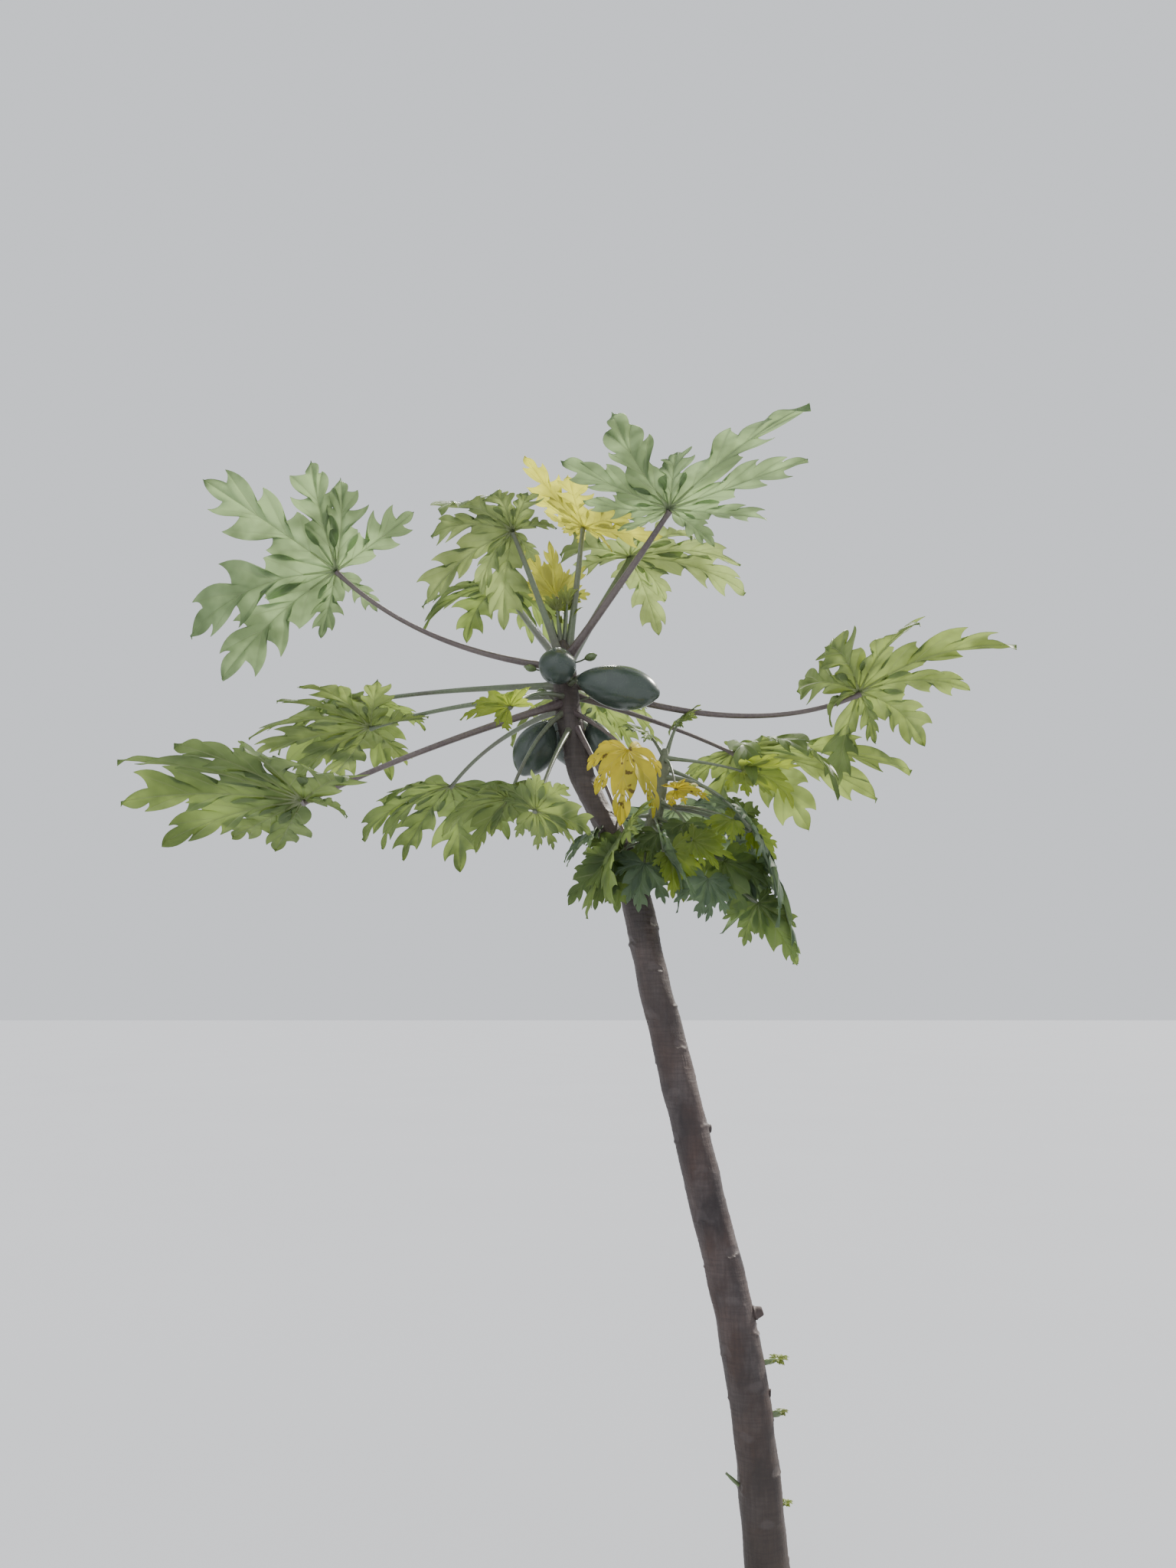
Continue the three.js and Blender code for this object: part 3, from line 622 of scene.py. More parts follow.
def merge_points(piece, distance=1e-5):
    select_only(piece)
    bpy.ops.object.mode_set(mode="EDIT")
    bpy.ops.mesh.select_all(action="SELECT")
    bpy.ops.mesh.remove_doubles(threshold=distance)
    bpy.ops.object.mode_set(mode="OBJECT")


def make_blade(name, leaf, faces_of_leaf):
    """A blade with raised ribs on its underside, closed to a thin solid."""
    points, faces, values = blade_sheet(leaf)
    thick, colour, edge = values.T
    piece = mesh_piece(name, points, faces, [("vein", colour), ("edge", edge), ("thick", thick)])
    for face in faces_of_leaf:
        piece.data.materials.append(face)
    merge_points(piece)
    ribs = piece.vertex_groups.new(name="ribs")
    for i, item in enumerate(piece.data.attributes["thick"].data):
        ribs.add([i], item.value, "REPLACE")
    shell = piece.modifiers.new("thickness", "SOLIDIFY")
    shell.thickness = RIB_DEPTH * (leaf["size"] / BLADE_REFERENCE) ** 0.5
    shell.offset = -1
    shell.vertex_group = "ribs"
    shell.thickness_vertex_group = BLADE_SHARE
    shell.material_offset = 1
    bpy.ops.object.modifier_apply(modifier=shell.name)
    piece.vertex_groups.clear()
    piece.data.attributes.remove(piece.data.attributes["thick"])
    smooth(60)
    return piece


# Stalks and other limbs.


def draw_limb(name, start, control, end, radius_at, cuts, sides):
    """A round limb along a curve with one bend, closed at both ends."""
    bpy.ops.curve.primitive_bezier_curve_add()
    limb = bpy.context.object
    limb.name = name
    spline = limb.data.splines[0]
    ends = [Vector(start), Vector(end)]
    bend = Vector(control)
    for knot, place, other in zip(spline.bezier_points, ends, ends[::-1]):
        knot.co = place
        knot.handle_left_type = knot.handle_right_type = "FREE"
        inner = place.lerp(bend, 2 / 3)
        outer = place + (place - inner) * 0.1
        first = place is ends[0]
        knot.handle_right = inner if first else outer
        knot.handle_left = outer if first else inner
    bpy.ops.object.mode_set(mode="EDIT")
    bpy.ops.curve.select_all(action="SELECT")
    bpy.ops.curve.subdivide(number_cuts=cuts)
    bpy.ops.object.mode_set(mode="OBJECT")
    knots = limb.data.splines[0].bezier_points
    for i, knot in enumerate(knots):
        knot.radius = radius_at(i / (len(knots) - 1))
    limb.data.resolution_u = 2
    limb.data.bevel_depth = 1.0
    limb.data.bevel_resolution = (sides - 4) // 2
    limb.data.use_fill_caps = True
    bpy.ops.object.convert(target="MESH")
    smooth(50)
    return bpy.context.object


def curve_length(leaf):
    shares = np.linspace(0, 1, 60)[:, None]
    foot, control, hub = leaf["foot_at"], leaf["control"], leaf["hub"]
    line = (1 - shares) ** 2 * foot + 2 * shares * (1 - shares) * control + shares**2 * hub
    return np.linalg.norm(np.diff(line, axis=0), axis=1).sum()


def make_stalk(name, leaf):
    """A leaf stalk, swollen where it leaves the stem, that meets the blade's hub from below."""
    length = curve_length(leaf)
    share = math.sqrt(min(STALK_SHARE_LIMIT, length / STALK_REFERENCE))
    steep = leaf["rise"] > STEEP * leaf["reach"]
    if steep:
        share *= STOUT
    swell = SWELL_LENGTH / length
    rate, power = STALK_TAPER

    def radius_at(s):
        eased = s if steep else min(1, rate * s) ** power
        plain = share * (STALK_FOOT_R + (STALK_TIP_R - STALK_FOOT_R) * eased)
        return plain * (1 + FOOT_SWELL * math.exp(-s / swell) + TIP_SWELL * math.exp((s - 1) / swell * 2))

    end = leaf["hub"] - leaf["normal"] * STALK_TIP_R * share
    return draw_limb(name, leaf["foot_at"], leaf["control"], end, radius_at, STALK_CUTS, 12)


# Fruits and young leaves.


def joined(name, pieces):
    """One piece made of several."""
    select_only(*pieces)
    if len(pieces) > 1:
        bpy.ops.object.join()
    pieces[0].name = name
    return pieces[0]


def fruit_width(share):
    """A fruit's girth at a share of its length, from its stalk to its tip."""
    return math.sin(math.pi * min(1, share) ** FRUIT_BELLY) ** FRUIT_ENDS


def make_fruit(name, middle, ahead, length, width, segments=60, rings=44):
    """A pear-shaped fruit with faint ridges and a small point at its tip."""
    bpy.ops.mesh.primitive_uv_sphere_add(segments=segments, ring_count=rings, radius=1)
    fruit = bpy.context.object
    fruit.name = name
    turn = ahead.to_track_quat("Z", "Y").to_matrix()
    for vertex in fruit.data.vertices:
        share = (vertex.co.z + 1) / 2
        angle = math.atan2(vertex.co.y, vertex.co.x)
        ridge = 1 + FRUIT_RIDGE_DEPTH * math.cos(FRUIT_RIDGES * angle) * math.sin(math.pi * share)
        girth = fruit_width(max(0, share)) * ridge * width / 2
        point = FRUIT_POINT * max(0, (share - FRUIT_POINT_FROM) / (1 - FRUIT_POINT_FROM))
        along = length * (share - 0.5) + point
        vertex.co = middle + turn @ Vector((girth * math.cos(angle), girth * math.sin(angle), along))
    smooth(50)
    return fruit


def make_calyx(name, place, ahead):
    """The small five-pointed cap between a fruit and its stalk."""
    bpy.ops.mesh.primitive_cylinder_add(vertices=40, radius=CALYX_R, depth=CALYX_DEPTH)
    calyx = bpy.context.object
    calyx.name = name
    turn = ahead.to_track_quat("Z", "Y").to_matrix()
    for vertex in calyx.data.vertices:
        angle = math.atan2(vertex.co.y, vertex.co.x)
        spread = 0.68 + 0.32 * math.cos(5 * angle)
        lift = CALYX_DEPTH * spread
        flat = Vector((vertex.co.x * spread, vertex.co.y * spread, vertex.co.z + lift))
        vertex.co = place + turn @ flat
    edge = calyx.modifiers.new("edge", "BEVEL")
    edge.width = CALYX_EDGE
    edge.segments = 2
    bpy.ops.object.modifier_apply(modifier=edge.name)
    smooth(40)
    return calyx


def make_fruits():
    for name, height, middle, axis, length, width in FRUITS:
        middle = Vector(middle) * MM
        ahead = Vector(axis).normalized()
        top = middle - ahead * length * MM / 2
        start = Vector(stem_at(TRUNK_AXIS, height * MM)[0])
        crest = start.lerp(top, NECK_BEND_AT) + Vector((0, 0, NECK_ARCH))
        fruit = make_fruit(f"papaya_{name}", middle, ahead, length * MM, width * MM)
        settle(fruit, [FRUIT_SKIN], [f"fruit_{name}"])
        end = top + ahead * NECK_SUNK

        def radius_at(share):
            return NECK_R * (1 + NECK_SWELL * (2 * share - 1) ** 4)

        neck = draw_limb(f"neck_{name}", start, crest, end, radius_at, 9, 12)
        calyx = make_calyx(f"calyx_{name}", top, ahead)
        settle(joined(f"papaya_stalk_{name}", [neck, calyx]), [PALE_STALK])


def make_young_leaves():
    """The folded leaves of the crown's heart and their slim stalks."""
    blades, stalks = [], []
    for i, (az, lean, length) in enumerate(YOUNG_LEAVES):
        out = compass(math.radians(az))
        lean = math.radians(lean)
        length *= MM
        tip = TRUNK_TIP + length * (out * math.sin(lean) + UP * math.cos(lean))
        hub = TRUNK_TIP + YOUNG_STALK_SHARE * (tip - TRUNK_TIP)
        foot = TRUNK_TIP + out * YOUNG_FOOT[0] - UP * YOUNG_FOOT[1]
        knee = (foot + hub) / 2 + out * YOUNG_BEND

        def radius_at(share):
            return YOUNG_STALK_R - YOUNG_STALK_TAPER * share

        stalks.append(draw_limb(f"young_stalk_{i}", foot, knee, hub, radius_at, 7, 10))
        ahead = unit(tip - hub)
        left = unit(np.cross(ahead, out))
        leaf = {
            "hub": hub, "ahead": ahead, "left": left, "normal": np.cross(ahead, left),
            "size": YOUNG_BLADE_SHARE * length, "droop": 0.3, "seed": 40 + i, "small": True,
            "fan": 0.5, "width": 0.8, "fold": 2,
        }
        blades.append(make_blade(f"young_blade_{i}", leaf, YOUNG))
    settle(joined("young_leaves", blades), [], ["crown_heart"])
    settle(joined("young_leafstalks", stalks), [PALE_STALK], ["crown_heart"])


def make_buds():
    """Buds and very young fruits on short stalks, close round the trunk under the crown."""
    chance = np.random.RandomState(21)
    bodies, stalks = [], []
    for k in range(BUDS):
        middle, radius = stem_at(TRUNK_AXIS, BUDS_FROM + k * BUD_RISE)
        out = compass(k * SCAR_TURN + 0.6)
        tip = middle + out * (radius + chance.uniform(*BUD_REACH)) + UP * chance.uniform(*BUD_LIFT)
        size = chance.uniform(*BUD_SIZE)
        foot = middle + out * radius * 0.8
        knee = (foot + tip) / 2 - UP * BUD_STALK_SAG
        stalks.append(draw_limb(f"bud_stalk_{k}", foot, knee, tip, lambda share: BUD_STALK_R, 3, 8))
        ahead = Vector(unit(out + UP * chance.uniform(*BUD_TILT)))
        middle = Vector(tip) + ahead * size
        length, width = size * BUD_LENGTH, size * BUD_WIDTH
        bodies.append(make_fruit(f"bud_{k}", middle, ahead, length, width, 24, 16))
    settle(joined("buds", bodies), [BUD_SKIN])
    settle(joined("bud_stalks", stalks), [PALE_STALK])


# Bark.


def smooth_columns(axis, heights):
    """The stem's middle and radius at many heights, eased between its rows."""
    rows = np.array(axis, float) * MM
    slopes = np.gradient(rows[:, 1:], rows[:, 0], axis=0)
    i = np.clip(np.searchsorted(rows[:, 0], heights) - 1, 0, len(rows) - 2)
    span = rows[i + 1, 0] - rows[i, 0]
    f = ((heights - rows[i, 0]) / span)[:, None]
    span = span[:, None]
    a, b = rows[i, 1:], rows[i + 1, 1:]
    ease = (1 + 2 * f) * (1 - f) ** 2 * a + f**2 * (3 - 2 * f) * b
    return ease + f * (1 - f) ** 2 * span * slopes[i] - f**2 * (1 - f) * span * slopes[i + 1]


def scar_relief(heights, angles, radii, ragged, start, end):
    """Rim and dent of the leaf scars, and how much of a scar each point is."""
    chance = np.random.RandomState(5)
    relief = np.zeros((len(heights), len(angles)))
    patch = np.zeros_like(relief)
    for k in range(int((end - start) / SCAR_RISE)):
        middle = start + k * SCAR_RISE + chance.uniform(-SCAR_SHIFT, SCAR_SHIFT)
        turn = k * SCAR_TURN + chance.uniform(-SCAR_SWING, SCAR_SWING)
        size = chance.uniform(*SCAR_SIZES)
        near = np.abs(heights - middle) < 3 * SCAR_HALF_HEIGHT
        across = (angles - turn + math.pi) % (2 * math.pi) - math.pi
        x = across[None, :] * radii[near][:, None] / (SCAR_HALF_WIDTH * size)
        y = (heights[near] - middle)[:, None] / (SCAR_HALF_HEIGHT * size) + 0.5 * x**2 - 0.25
        ring = np.hypot(x, y) + SCAR_RAGGED * ragged[near]
        rim = np.exp(-(((ring - 1) / SCAR_RIM_WIDTH) ** 2)) * np.clip(0.55 - 0.55 * y, 0.1, 1)
        inside = 1 / (1 + np.exp((ring - 0.9) * 14))
        relief[near] += size * (SCAR_RIM * rim - SCAR_DENT * inside)
        patch[near] = np.maximum(patch[near], inside)
    return relief, patch


def grain(points, scale, seed):
    """Smooth noise at many points, each axis with a scale of its own."""
    shift = Vector((seed * 7.1, seed * 3.7, seed * 5.3))
    flat = (points * np.array(scale)).reshape(-1, 3)
    values = [noise.noise(Vector(p) + shift) for p in flat]
    return np.array(values).reshape(points.shape[:-1])


def bark_mesh(name, axis, sides, scars, flared):
    """A stem with the relief of its bark, from its foot to its closed tip."""
    low, high = axis[0][0] * MM, axis[-1][0] * MM
    heights = np.linspace(low, high, int((high - low) / BARK_STEP))
    angles = np.linspace(0, 2 * math.pi, sides, endpoint=False)
    level, turn = np.meshgrid(heights, angles, indexing="ij")
    x, y, radius = smooth_columns(axis, heights).T[..., None]
    wall = np.stack([np.cos(turn) * NOISE_RADIUS, np.sin(turn) * NOISE_RADIUS, level], axis=-1)
    relief, patch = scar_relief(heights, angles, radius[:, 0], grain(wall, RAGGED, 4), *scars)
    wrinkle, crack, lump = (
        depth * grain(wall, scale, i + 1) for i, (scale, depth) in enumerate((WRINKLES, CRACKS, LUMPS)))
    relief += (wrinkle - np.abs(crack)) * (1 - SCARS_SMOOTH * patch) + lump
    closing = np.clip((high - level) / BARK_CLOSES, 0, 1)
    fade = np.clip(1 - level / FLARE_HEIGHT, 0, 1) ** 2 if flared else 0
    reach = radius * (1 + FLARE_DEPTH * fade * np.cos(FLARE_RIDGES * turn)) + relief * closing
    points = np.stack([x + reach * np.cos(turn), y + reach * np.sin(turn), level], axis=-1).reshape(-1, 3)
    rows = len(heights)
    faces = []
    for r in range(rows - 1):
        for j in range(sides):
            a, b = r * sides + j, r * sides + (j + 1) % sides
            faces.append((a, b, b + sides, a + sides))
    faces.append(tuple(range(sides))[::-1])
    faces.append(tuple((rows - 1) * sides + j for j in range(sides)))
    marks = [
        ("scar", patch), ("young", np.interp(level, YOUNG_BARK, (0, 1))),
        ("damp", np.interp(level, (0, DAMP_TO), (1, 0))),
    ]
    piece = mesh_piece(name, points, faces, [(label, values.reshape(-1)) for label, values in marks])
    smooth(60)
    return piece


# Materials.


def feed(node, inputs):
    """Gives inputs of a node, by name or number, a plain value or another node's socket."""
    for label, value in inputs.items():
        if isinstance(value, bpy.types.NodeSocket):
            node.id_data.links.new(value, node.inputs[label])
        else:
            node.inputs[label].default_value = value
    return node


def node_group(name, numbers):
    """A node group with a place and some numbers going in and one number coming out."""
    tree = bpy.data.node_groups.new(name, "ShaderNodeTree")
    tree.interface.new_socket(name="Place", in_out="INPUT", socket_type="NodeSocketVector")
    for label in numbers:
        tree.interface.new_socket(name=label, in_out="INPUT", socket_type="NodeSocketFloat")
    tree.interface.new_socket(name="Result", in_out="OUTPUT", socket_type="NodeSocketFloat")
    return tree, tree.nodes.new("NodeGroupInput").outputs


def blotch_group():
    """Soft blotches: a mask that runs from 0 to 1 over the surface."""
    tree, given = node_group("blotches", ("Scale", "Detail", "Low", "High"))
    cloud = feed(tree.nodes.new("ShaderNodeTexNoise"), {
        "Vector": given["Place"], "Scale": given["Scale"], "Detail": given["Detail"], "Roughness": 0.55})
    ramp = feed(tree.nodes.new("ShaderNodeMapRange"), {
        "Value": cloud.outputs["Fac"], "From Min": given["Low"], "From Max": given["High"]})
    feed(tree.nodes.new("NodeGroupOutput"), {"Result": ramp.outputs["Result"]})
    return tree


def tissue_group():
    """The fine net of a leaf's smallest veins, as a height."""
    tree, given = node_group("leaf_tissue", ["Scale"])
    cells = tree.nodes.new("ShaderNodeTexVoronoi")
    cells.feature = "DISTANCE_TO_EDGE"
    feed(cells, {"Vector": given["Place"], "Scale": given["Scale"]})
    ramp = feed(tree.nodes.new("ShaderNodeMapRange"), {
        "Value": cells.outputs["Distance"], "From Max": 0.12})
    feed(tree.nodes.new("NodeGroupOutput"), {"Result": ramp.outputs["Result"]})
    return tree


# Painted shade: how much dimmer the light through a leaf is in its broad dark blotches, which paint
# shaded patches among lit ones.
PAINTED_SHADE_GLOW = 0.67
BLOTCHES = blotch_group()
TISSUE = tissue_group()


class Finish:
    """A material under construction: its nodes and the shader they feed."""

    def __init__(self, name, roughness, specular):
        self.material = bpy.data.materials.new(name)
        self.material.use_nodes = True
        self.nodes = self.material.node_tree.nodes
        self.shader = self.nodes["Principled BSDF"]
        self.place = self.nodes.new("ShaderNodeTexCoord").outputs["Object"]
        feed(self.shader, {"Roughness": roughness, "Specular IOR Level": specular})

    def node(self, kind, inputs):
        return feed(self.nodes.new(kind), inputs)

    def stretched(self, scale):
        """The place on the object with each axis scaled, for grain that runs one way."""
        return self.node("ShaderNodeMapping", {"Vector": self.place, "Scale": scale}).outputs["Vector"]

    def grouped(self, tree, place, numbers):
        """What a node group gives at a place."""
        group = self.nodes.new("ShaderNodeGroup")
        group.node_tree = tree
        return feed(group, {"Place": place, **numbers}).outputs["Result"]

    def blotches(self, scale, low, high, detail=3.0, place=None):
        numbers = {"Scale": scale, "Detail": detail, "Low": low, "High": high}
        return self.grouped(BLOTCHES, place or self.place, numbers)

    def tissue(self, scale):
        return self.grouped(TISSUE, self.place, {"Scale": scale})

    def attribute(self, name):
        node = self.nodes.new("ShaderNodeAttribute")
        node.attribute_name = name
        return node.outputs["Fac"]

    def computed(self, operation, first, second):
        node = self.nodes.new("ShaderNodeMath")
        node.operation = operation
        return feed(node, {0: first, 1: second}).outputs[0]

    def scaled(self, value, factor):
        return value if factor == 1 else self.computed("MULTIPLY", value, factor)

    def summed(self, first, second):
        return self.computed("ADD", first, second)

    def mixed(self, mask, first, second, share=1):
        """The first colour and, up to a share, the second one where the mask is.

        Each is a plain colour or a socket.
        """
        node = self.nodes.new("ShaderNodeMix")
        node.data_type = "RGBA"
        first, second = ((*c, 1) if isinstance(c, tuple) else c for c in (first, second))
        return feed(node, {"Factor": self.scaled(mask, share), 6: first, 7: second}).outputs[2]

    def colour(self, value):
        feed(self.shader, {"Base Color": value})

    def roughness(self, mask, low, high):
        ramp = self.node("ShaderNodeMapRange", {"Value": mask, "To Min": low, "To Max": high})
        feed(self.shader, {"Roughness": ramp.outputs["Result"]})

    def bump(self, height, strength, distance):
        node = self.node("ShaderNodeBump", {"Height": height, "Strength": strength, "Distance": distance})
        feed(self.shader, {"Normal": node.outputs["Normal"]})
        return node.outputs["Normal"]

    def glow(self, colour, share, normal):
        """Lets a share of the light through the surface, in a colour of its own."""
        through = self.node("ShaderNodeBsdfTranslucent", {"Color": colour, "Normal": normal})
        shaders = {1: self.shader.outputs["BSDF"], 2: through.outputs["BSDF"]}
        mix = self.node("ShaderNodeMixShader", {"Fac": share, **shaders})
        feed(self.nodes["Material Output"], {"Surface": mix.outputs["Shader"]})


def leaf_finish(name, face, dark, vein, glow, roughness, share, spots=None):
    """A leaf's skin: a blotched face and glow with painted shade in the dark blotches, paler veins, a net
    of small veins and light through it.
    """
    finish = Finish(name, roughness, 0.4)
    # Painted shade: the broad blotches darken the face to the dark colour and dim the glow, as shaded
    # patches among lit ones.
    broad = finish.blotches(6.5, 0.4, 0.6)
    fine = finish.blotches(60, 0.3, 0.7, 5)
    skin = finish.mixed(broad, face, dark)
    skin = finish.mixed(fine, skin, dark, 0.25)
    veins = finish.attribute("vein")
    skin = finish.mixed(veins, skin, vein, 0.8)
    lit = finish.mixed(broad, glow, tuple(PAINTED_SHADE_GLOW * channel for channel in glow))
    lit = finish.mixed(veins, lit, vein, 0.55)
    if spots:
        spot = finish.blotches(38, 0.62, 0.68, 2)
        skin = finish.mixed(spot, skin, spots, 0.85)
        lit = finish.mixed(spot, lit, spots, 0.85)
    finish.colour(skin)
    finish.roughness(fine, roughness - 0.06, roughness + 0.1)
    height = finish.summed(finish.scaled(finish.tissue(60), 0.5), finish.scaled(fine, 0.4))
    normal = finish.bump(height, 0.3, 0.0006)
    finish.glow(lit, share, normal)
    return finish.material


def bark_finish(name, main, dark, pale, warm, young, damp):
    """Weathered bark: warm and pale patches, greener where it is damp, and lighter and greener where it
    is young, partly as painted light.
    """
    finish = Finish(name, 0.7, 0.36)
    broad = finish.blotches(6, 0.38, 0.62, 3)
    warm_patch = finish.blotches(8, 0.42, 0.66, 3, finish.stretched((1.2, 1.2, 0.6)))
    pale_patch = finish.blotches(16, 0.46, 0.7, 6, finish.stretched((1, 1, 0.5)))
    streak = finish.blotches(1, 0.35, 0.7, 4, finish.stretched((150, 150, 12)))
    rings = finish.blotches(1, 0.4, 0.66, 4, finish.stretched((14, 14, 170)))
    skin = finish.mixed(broad, main, dark)
    for mask, colour, share in (
        (warm_patch, warm, 0.7), (pale_patch, pale, 0.45), (finish.attribute("young"), young, 0.55),
        (finish.attribute("damp"), damp, 0.6), (streak, dark, 0.35), (rings, dark, 0.3),
        (finish.attribute("scar"), pale, 0.15),
    ):
        skin = finish.mixed(mask, skin, colour, share)
    finish.colour(skin)
    finish.roughness(pale_patch, 0.5, 0.78)
    grit = finish.blotches(260, 0.25, 0.75, 5)
    height = finish.summed(finish.scaled(streak, 0.5), finish.scaled(grit, 0.5))
    finish.bump(finish.summed(height, finish.scaled(rings, 0.4)), 0.5, 0.0015)
    return finish.material


def stalk_finish(name, main, flush, pale):
    """A leaf stalk's smooth skin, with fine lines along it and a flush of another colour."""
    finish = Finish(name, 0.34, 0.55)
    flushed = finish.blotches(6, 0.42, 0.66, 2)
    line = finish.blotches(120, 0.35, 0.7, 4)
    skin = finish.mixed(flushed, main, flush)
    skin = finish.mixed(line, skin, pale, 0.3)
    finish.colour(skin)
    finish.roughness(line, 0.28, 0.42)
    finish.bump(line, 0.2, 0.0008)
    return finish.material


def fruit_finish(name, main, pale, dark):
    """A green fruit's waxy skin with faint flecks."""
    finish = Finish(name, 0.3, 0.55)
    broad = finish.blotches(10, 0.4, 0.65)
    fleck = finish.blotches(190, 0.6, 0.72, 4)
    skin = finish.mixed(broad, main, dark)
    skin = finish.mixed(fleck, skin, pale, 0.35)
    finish.colour(skin)
    finish.roughness(broad, 0.22, 0.34)
    finish.bump(fleck, 0.12, 0.0006)
    return finish.material


# Both faces of a leaf: the upper one is deeper and glossier, the under one paler and duller. Each face's
# second colour is painted shade, laid in its broad blotches.
LEAF_TINTS = {
    tint: (
        leaf_finish(f"leaf_{tint}_upper", upper, deep, rib, glow, 0.42, share, spots),
        leaf_finish(f"leaf_{tint}_under", under, upper, rib, glow, 0.56, share, spots),
    )
    for tint, share, upper, deep, under, rib, glow, spots in (
        ("pale", 0.57, (0.14, 0.205, 0.105), (0.105, 0.16, 0.08), (0.265, 0.345, 0.205),
            (0.42, 0.48, 0.31), (0.72, 0.86, 0.56), None),
        ("light", 0.56, (0.165, 0.225, 0.1), (0.12, 0.175, 0.075), (0.27, 0.33, 0.18),
            (0.45, 0.5, 0.29), (0.75, 0.85, 0.46), None),
        ("fresh", 0.54, (0.14, 0.205, 0.07), (0.1, 0.158, 0.052), (0.23, 0.292, 0.14),
            (0.4, 0.45, 0.24), (0.68, 0.78, 0.35), None),
        # The lime tint's bright yellow-green is partly painted light, for sunlit leaves among shaded
        # ones.
        ("lime", 0.56, (0.23, 0.31, 0.06), (0.17, 0.24, 0.048), (0.32, 0.39, 0.12),
            (0.46, 0.52, 0.22), (0.84, 0.93, 0.26), None),
        ("mid", 0.54, (0.118, 0.18, 0.066), (0.084, 0.136, 0.05), (0.2, 0.262, 0.124),
            (0.38, 0.42, 0.24), (0.62, 0.73, 0.33), None),
        # The deep tint's dark, bluish green is partly painted shade, for leaves in the shadow of others.
        ("deep", 0.5, (0.12, 0.172, 0.115), (0.088, 0.134, 0.09), (0.2, 0.255, 0.18),
            (0.36, 0.42, 0.31), (0.58, 0.7, 0.44), None),
        ("lemon", 0.6, (0.66, 0.64, 0.15), (0.5, 0.52, 0.11), (0.74, 0.73, 0.22),
            (0.72, 0.7, 0.26), (0.97, 0.97, 0.3), None),
        ("gold", 0.46, (0.64, 0.53, 0.045), (0.46, 0.43, 0.05), (0.68, 0.6, 0.11),
            (0.64, 0.56, 0.17), (0.93, 0.85, 0.09), (0.13, 0.075, 0.02)),
    )
}
YOUNG = (
    leaf_finish("leaf_young_upper", (0.22, 0.28, 0.08), (0.16, 0.19, 0.07), (0.42, 0.46, 0.22),
        (0.8, 0.88, 0.3), 0.4, 0.5),
    leaf_finish("leaf_young_under", (0.27, 0.32, 0.12), (0.2, 0.22, 0.1), (0.42, 0.46, 0.22),
        (0.8, 0.88, 0.3), 0.5, 0.5),
)
# The trunk's young colour is lighter than its main one: partly its own younger bark, partly painted light
# against the crown's shade.
BARK = bark_finish(
    "bark", (0.06, 0.044, 0.041), (0.026, 0.019, 0.02), (0.18, 0.156, 0.154),
    (0.084, 0.048, 0.038), (0.112, 0.094, 0.086), (0.05, 0.039, 0.027))
# The side shoot's light main and pale young colours are partly its own pale green-grey, partly painted
# light for the sunlit glare on its stem.
SHOOT_BARK = bark_finish(
    "shoot_bark", (0.14, 0.148, 0.1), (0.075, 0.082, 0.054), (0.25, 0.26, 0.2),
    (0.125, 0.11, 0.078), (0.19, 0.23, 0.14), (0.1, 0.105, 0.062))
PALE_STALK = stalk_finish(
    "stalk_pale", (0.12, 0.152, 0.09), (0.105, 0.105, 0.08), (0.24, 0.27, 0.18))
FLUSHED_STALK = stalk_finish(
    "stalk_flushed", (0.12, 0.092, 0.09), (0.078, 0.054, 0.062), (0.24, 0.21, 0.18))
FRUIT_SKIN = fruit_finish(
    "fruit_skin", (0.05, 0.069, 0.056), (0.11, 0.15, 0.1), (0.037, 0.053, 0.045))
BUD_SKIN = fruit_finish("bud_skin", (0.14, 0.19, 0.08), (0.28, 0.32, 0.17), (0.09, 0.13, 0.055))


def settle(piece, materials, nodes=()):
    """Gives a finished piece its materials, its body and the solids it stands for."""
    select_only(piece)
    bpy.ops.object.transform_apply(location=True, rotation=True, scale=True)
    if materials:
        piece.data.materials.clear()
    for material in materials:
        piece.data.materials.append(material)
    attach(piece, "root")
    if nodes:
        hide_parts(*nodes)


def make_stubs():
    """The stubs on the trunk, and the tiny leaves that sprout from some of them."""
    stubs, shoots = [], []
    for i, (kind, height, az, reach, rise, radius) in enumerate(TRUNK_STUBS):
        middle, trunk_radius = stem_at(TRUNK_AXIS, height * MM)
        out = compass(math.radians(az))
        foot = middle + out * 0.6 * trunk_radius
        tip = middle + out * (trunk_radius + reach * MM) + UP * rise * MM
        rough = np.random.RandomState(70 + i).uniform(*STUB_ROUGH, 12)

        def radius_at(share):
            taper = 1 - (1 - STUB_TIP) * share**2
            return radius * MM * taper * rough[int(share * 11)]

        limb = draw_limb(f"stub_{i}", foot, (foot + tip) / 2 - UP * 0.002, tip, radius_at, 8, 12)
        (stubs if kind == "knob" else shoots).append(limb)
        if kind in SPROUT_SIZES:
            add_sprout(f"sprout_{i}", tip - out * 0.004, out, SPROUT_SIZES[kind])
    settle(joined("sprout_stalks", shoots), [BUD_SKIN])
    return stubs


def add_sprout(name, place, out, size):
    """A few tiny leaves that open from a bud on the trunk."""
    blades = []
    for k, turn in enumerate((-70, -10, 50)):
        heading = math.atan2(out[1], out[0]) + math.radians(turn)
        leaf = place_leaf({
            "foot": place[2], "az": heading, "reach": 0, "rise": 0, "bow": 0, "size": size,
            "heading": heading, "pitch": math.radians(35), "roll": 0.2 * k, "droop": 0.7,
            "seed": 90 + k, "small": True, "fan": 0.7,
        }, TRUNK_AXIS)
        blades.append(make_blade(f"{name}_{k}", {**leaf, "hub": place}, YOUNG))
    settle(joined(name, blades), [])


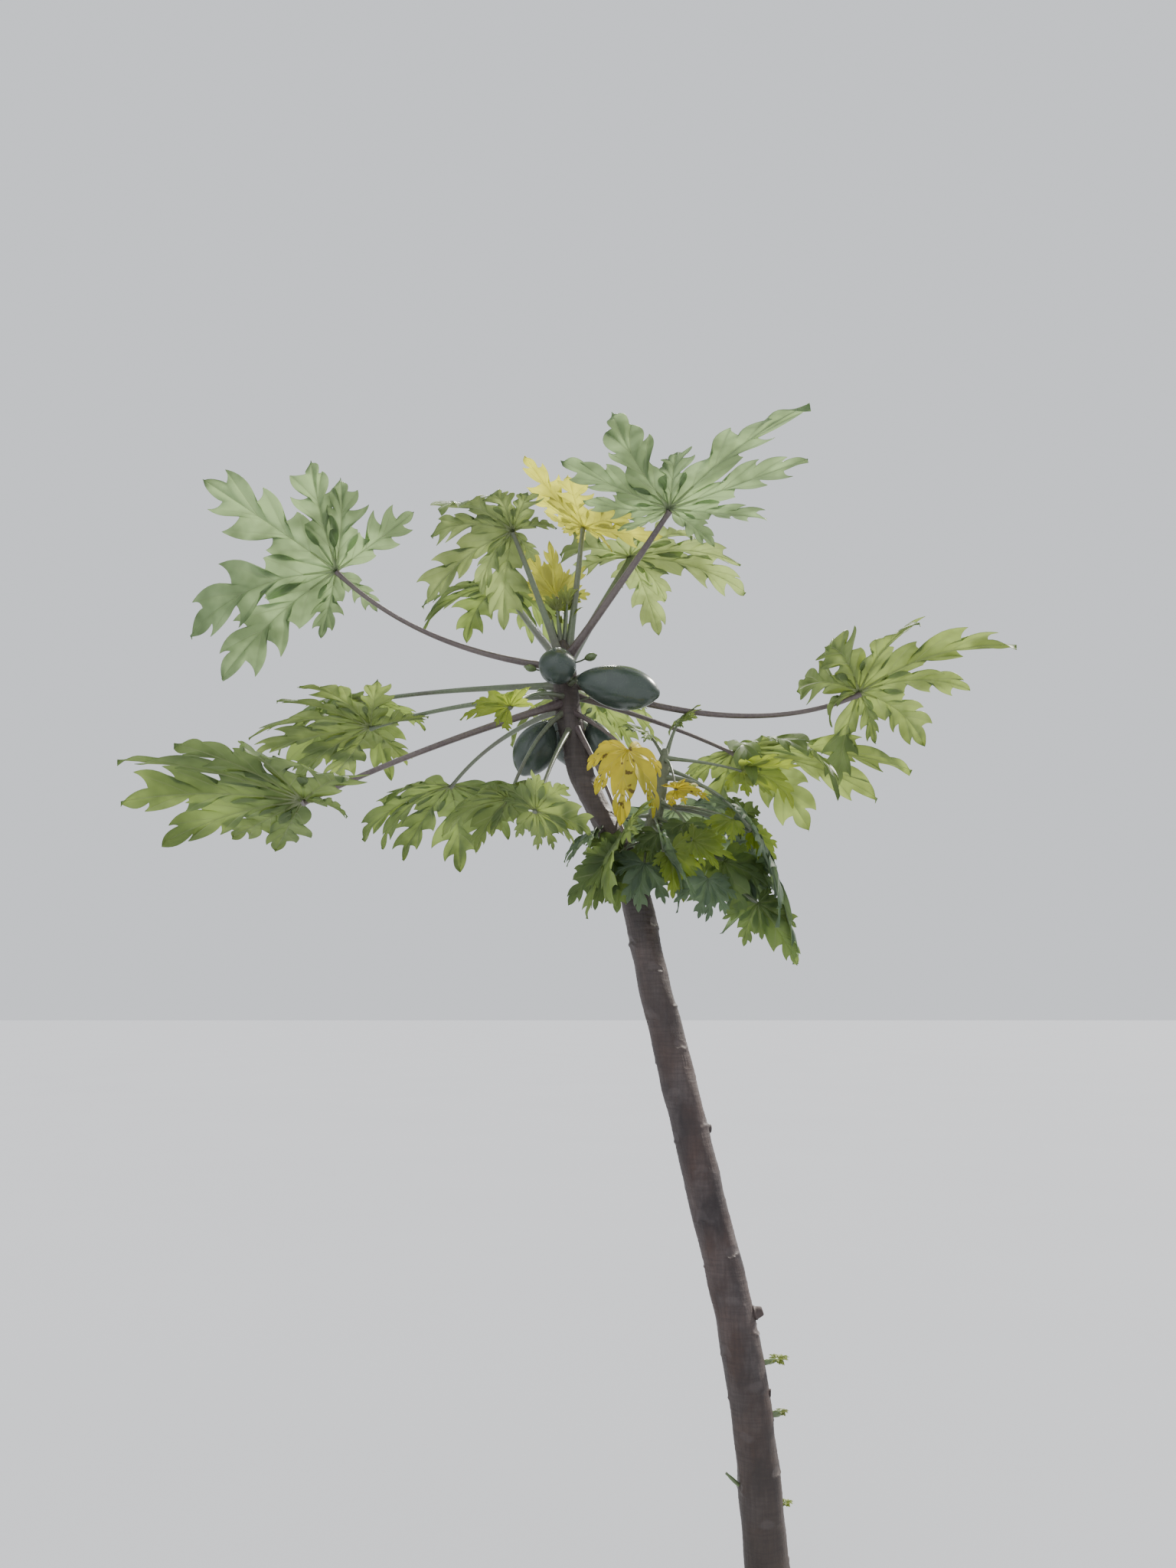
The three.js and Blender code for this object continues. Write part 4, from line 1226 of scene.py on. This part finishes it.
def make_trunk():
    trunk = bark_mesh("bark_of_trunk", TRUNK_AXIS, BARK_SIDES, TRUNK_SCARS, True)
    trunk = joined("bark_of_trunk", [trunk, *make_stubs()])
    settle(trunk, [BARK], ["trunk"])
    shoot = bark_mesh("bark_of_side_shoot", SHOOT_AXIS, SHOOT_SIDES, SHOOT_SCARS, False)
    settle(shoot, [SHOOT_BARK], ["side_shoot"])


def make_leaves(label, rows, axis):
    for i, row in enumerate(rows):
        number = f"{i + 1:02d}"
        leaf = place_leaf(row, axis)
        blade = make_blade(f"{label}_leaf_{number}", leaf, LEAF_TINTS[row["tint"]])
        settle(blade, [], [f"{label}_blade_{number}"])
        stalk = make_stalk(f"{label}_leafstalk_{number}", leaf)
        skin = FLUSHED_STALK if row["flushed"] else PALE_STALK
        settle(stalk, [skin], [f"{label}_stalk_{number}"])


def make_small_leaves():
    """The smaller leaves round the side shoot, joined by tint, and all their stalks."""
    blades = {"lime": [], "fresh": [], "mid": [], "deep": []}
    stalks = []
    for i, row in enumerate(SMALL_LEAVES):
        leaf = place_leaf(row, SHOOT_AXIS)
        blades[row["tint"]].append(make_blade(f"small_blade_{i}", leaf, LEAF_TINTS[row["tint"]]))
        stalks.append(make_stalk(f"small_stalk_{i}", leaf))
    for tint, pieces in blades.items():
        settle(joined(f"small_leaves_{tint}", pieces), [])
    settle(joined("small_leafstalks", stalks), [PALE_STALK])


make_trunk()
make_leaves("crown", CROWN_LEAVES, TRUNK_AXIS)
make_leaves("shoot", SHOOT_LEAVES, SHOOT_AXIS)
make_small_leaves()
make_young_leaves()
make_fruits()
make_buds()


# Camera, light and floor.

CAMERA_AT = (-0.482, -3.5, 1.55)
CAMERA_PITCH = math.radians(10.9)
CAMERA_LENS = 27.07
CROWN_MIDDLE = Vector((-0.4, 0.0, 2.45))


def add_camera():
    bpy.ops.object.camera_add(location=CAMERA_AT, rotation=(math.pi / 2 + CAMERA_PITCH, 0, 0))
    camera = bpy.context.object
    camera.data.lens = CAMERA_LENS
    camera.data.sensor_width = 36
    bpy.context.scene.camera = camera


def add_sun(name, direction, spread, strength, colour):
    """A wide soft light from far off, so that the floor is lit evenly."""
    way = Vector(direction).normalized()
    bpy.ops.object.light_add(type="SUN", location=CROWN_MIDDLE + way * 6)
    lamp = bpy.context.object
    lamp.name = name
    lamp.data.angle = math.radians(spread)
    lamp.data.energy = strength
    lamp.data.color = colour
    lamp.rotation_euler = way.to_track_quat("Z", "Y").to_euler()


def add_floor():
    bpy.ops.mesh.primitive_plane_add(size=400, location=(0, 0, -0.001))
    floor = bpy.context.object
    floor.name = "floor"
    finish = Finish("floor", 0.9, 0.2)
    broad = finish.blotches(0.4, 0.3, 0.7)
    finish.colour(finish.mixed(broad, (0.385, 0.400, 0.435), (0.375, 0.390, 0.425)))
    floor.data.materials.append(finish.material)


def add_world():
    world = bpy.data.worlds.new("studio")
    world.use_nodes = True
    feed(world.node_tree.nodes["Background"], {"Color": (0.92, 0.95, 1.0, 1), "Strength": 0.95})
    bpy.context.scene.world = world


add_camera()
add_sun("sun_side", (0.70, 0.55, 0.75), 8, 7.2, (1.0, 0.95, 0.86))
add_sun("sun_high", (0.0, 0.72, 0.69), 6, 1.4, (1.0, 0.97, 0.92))
add_sun("front", (-0.5, -1.0, 0.5), 60, 0.5, (0.95, 0.97, 1.0))
add_floor()
add_world()
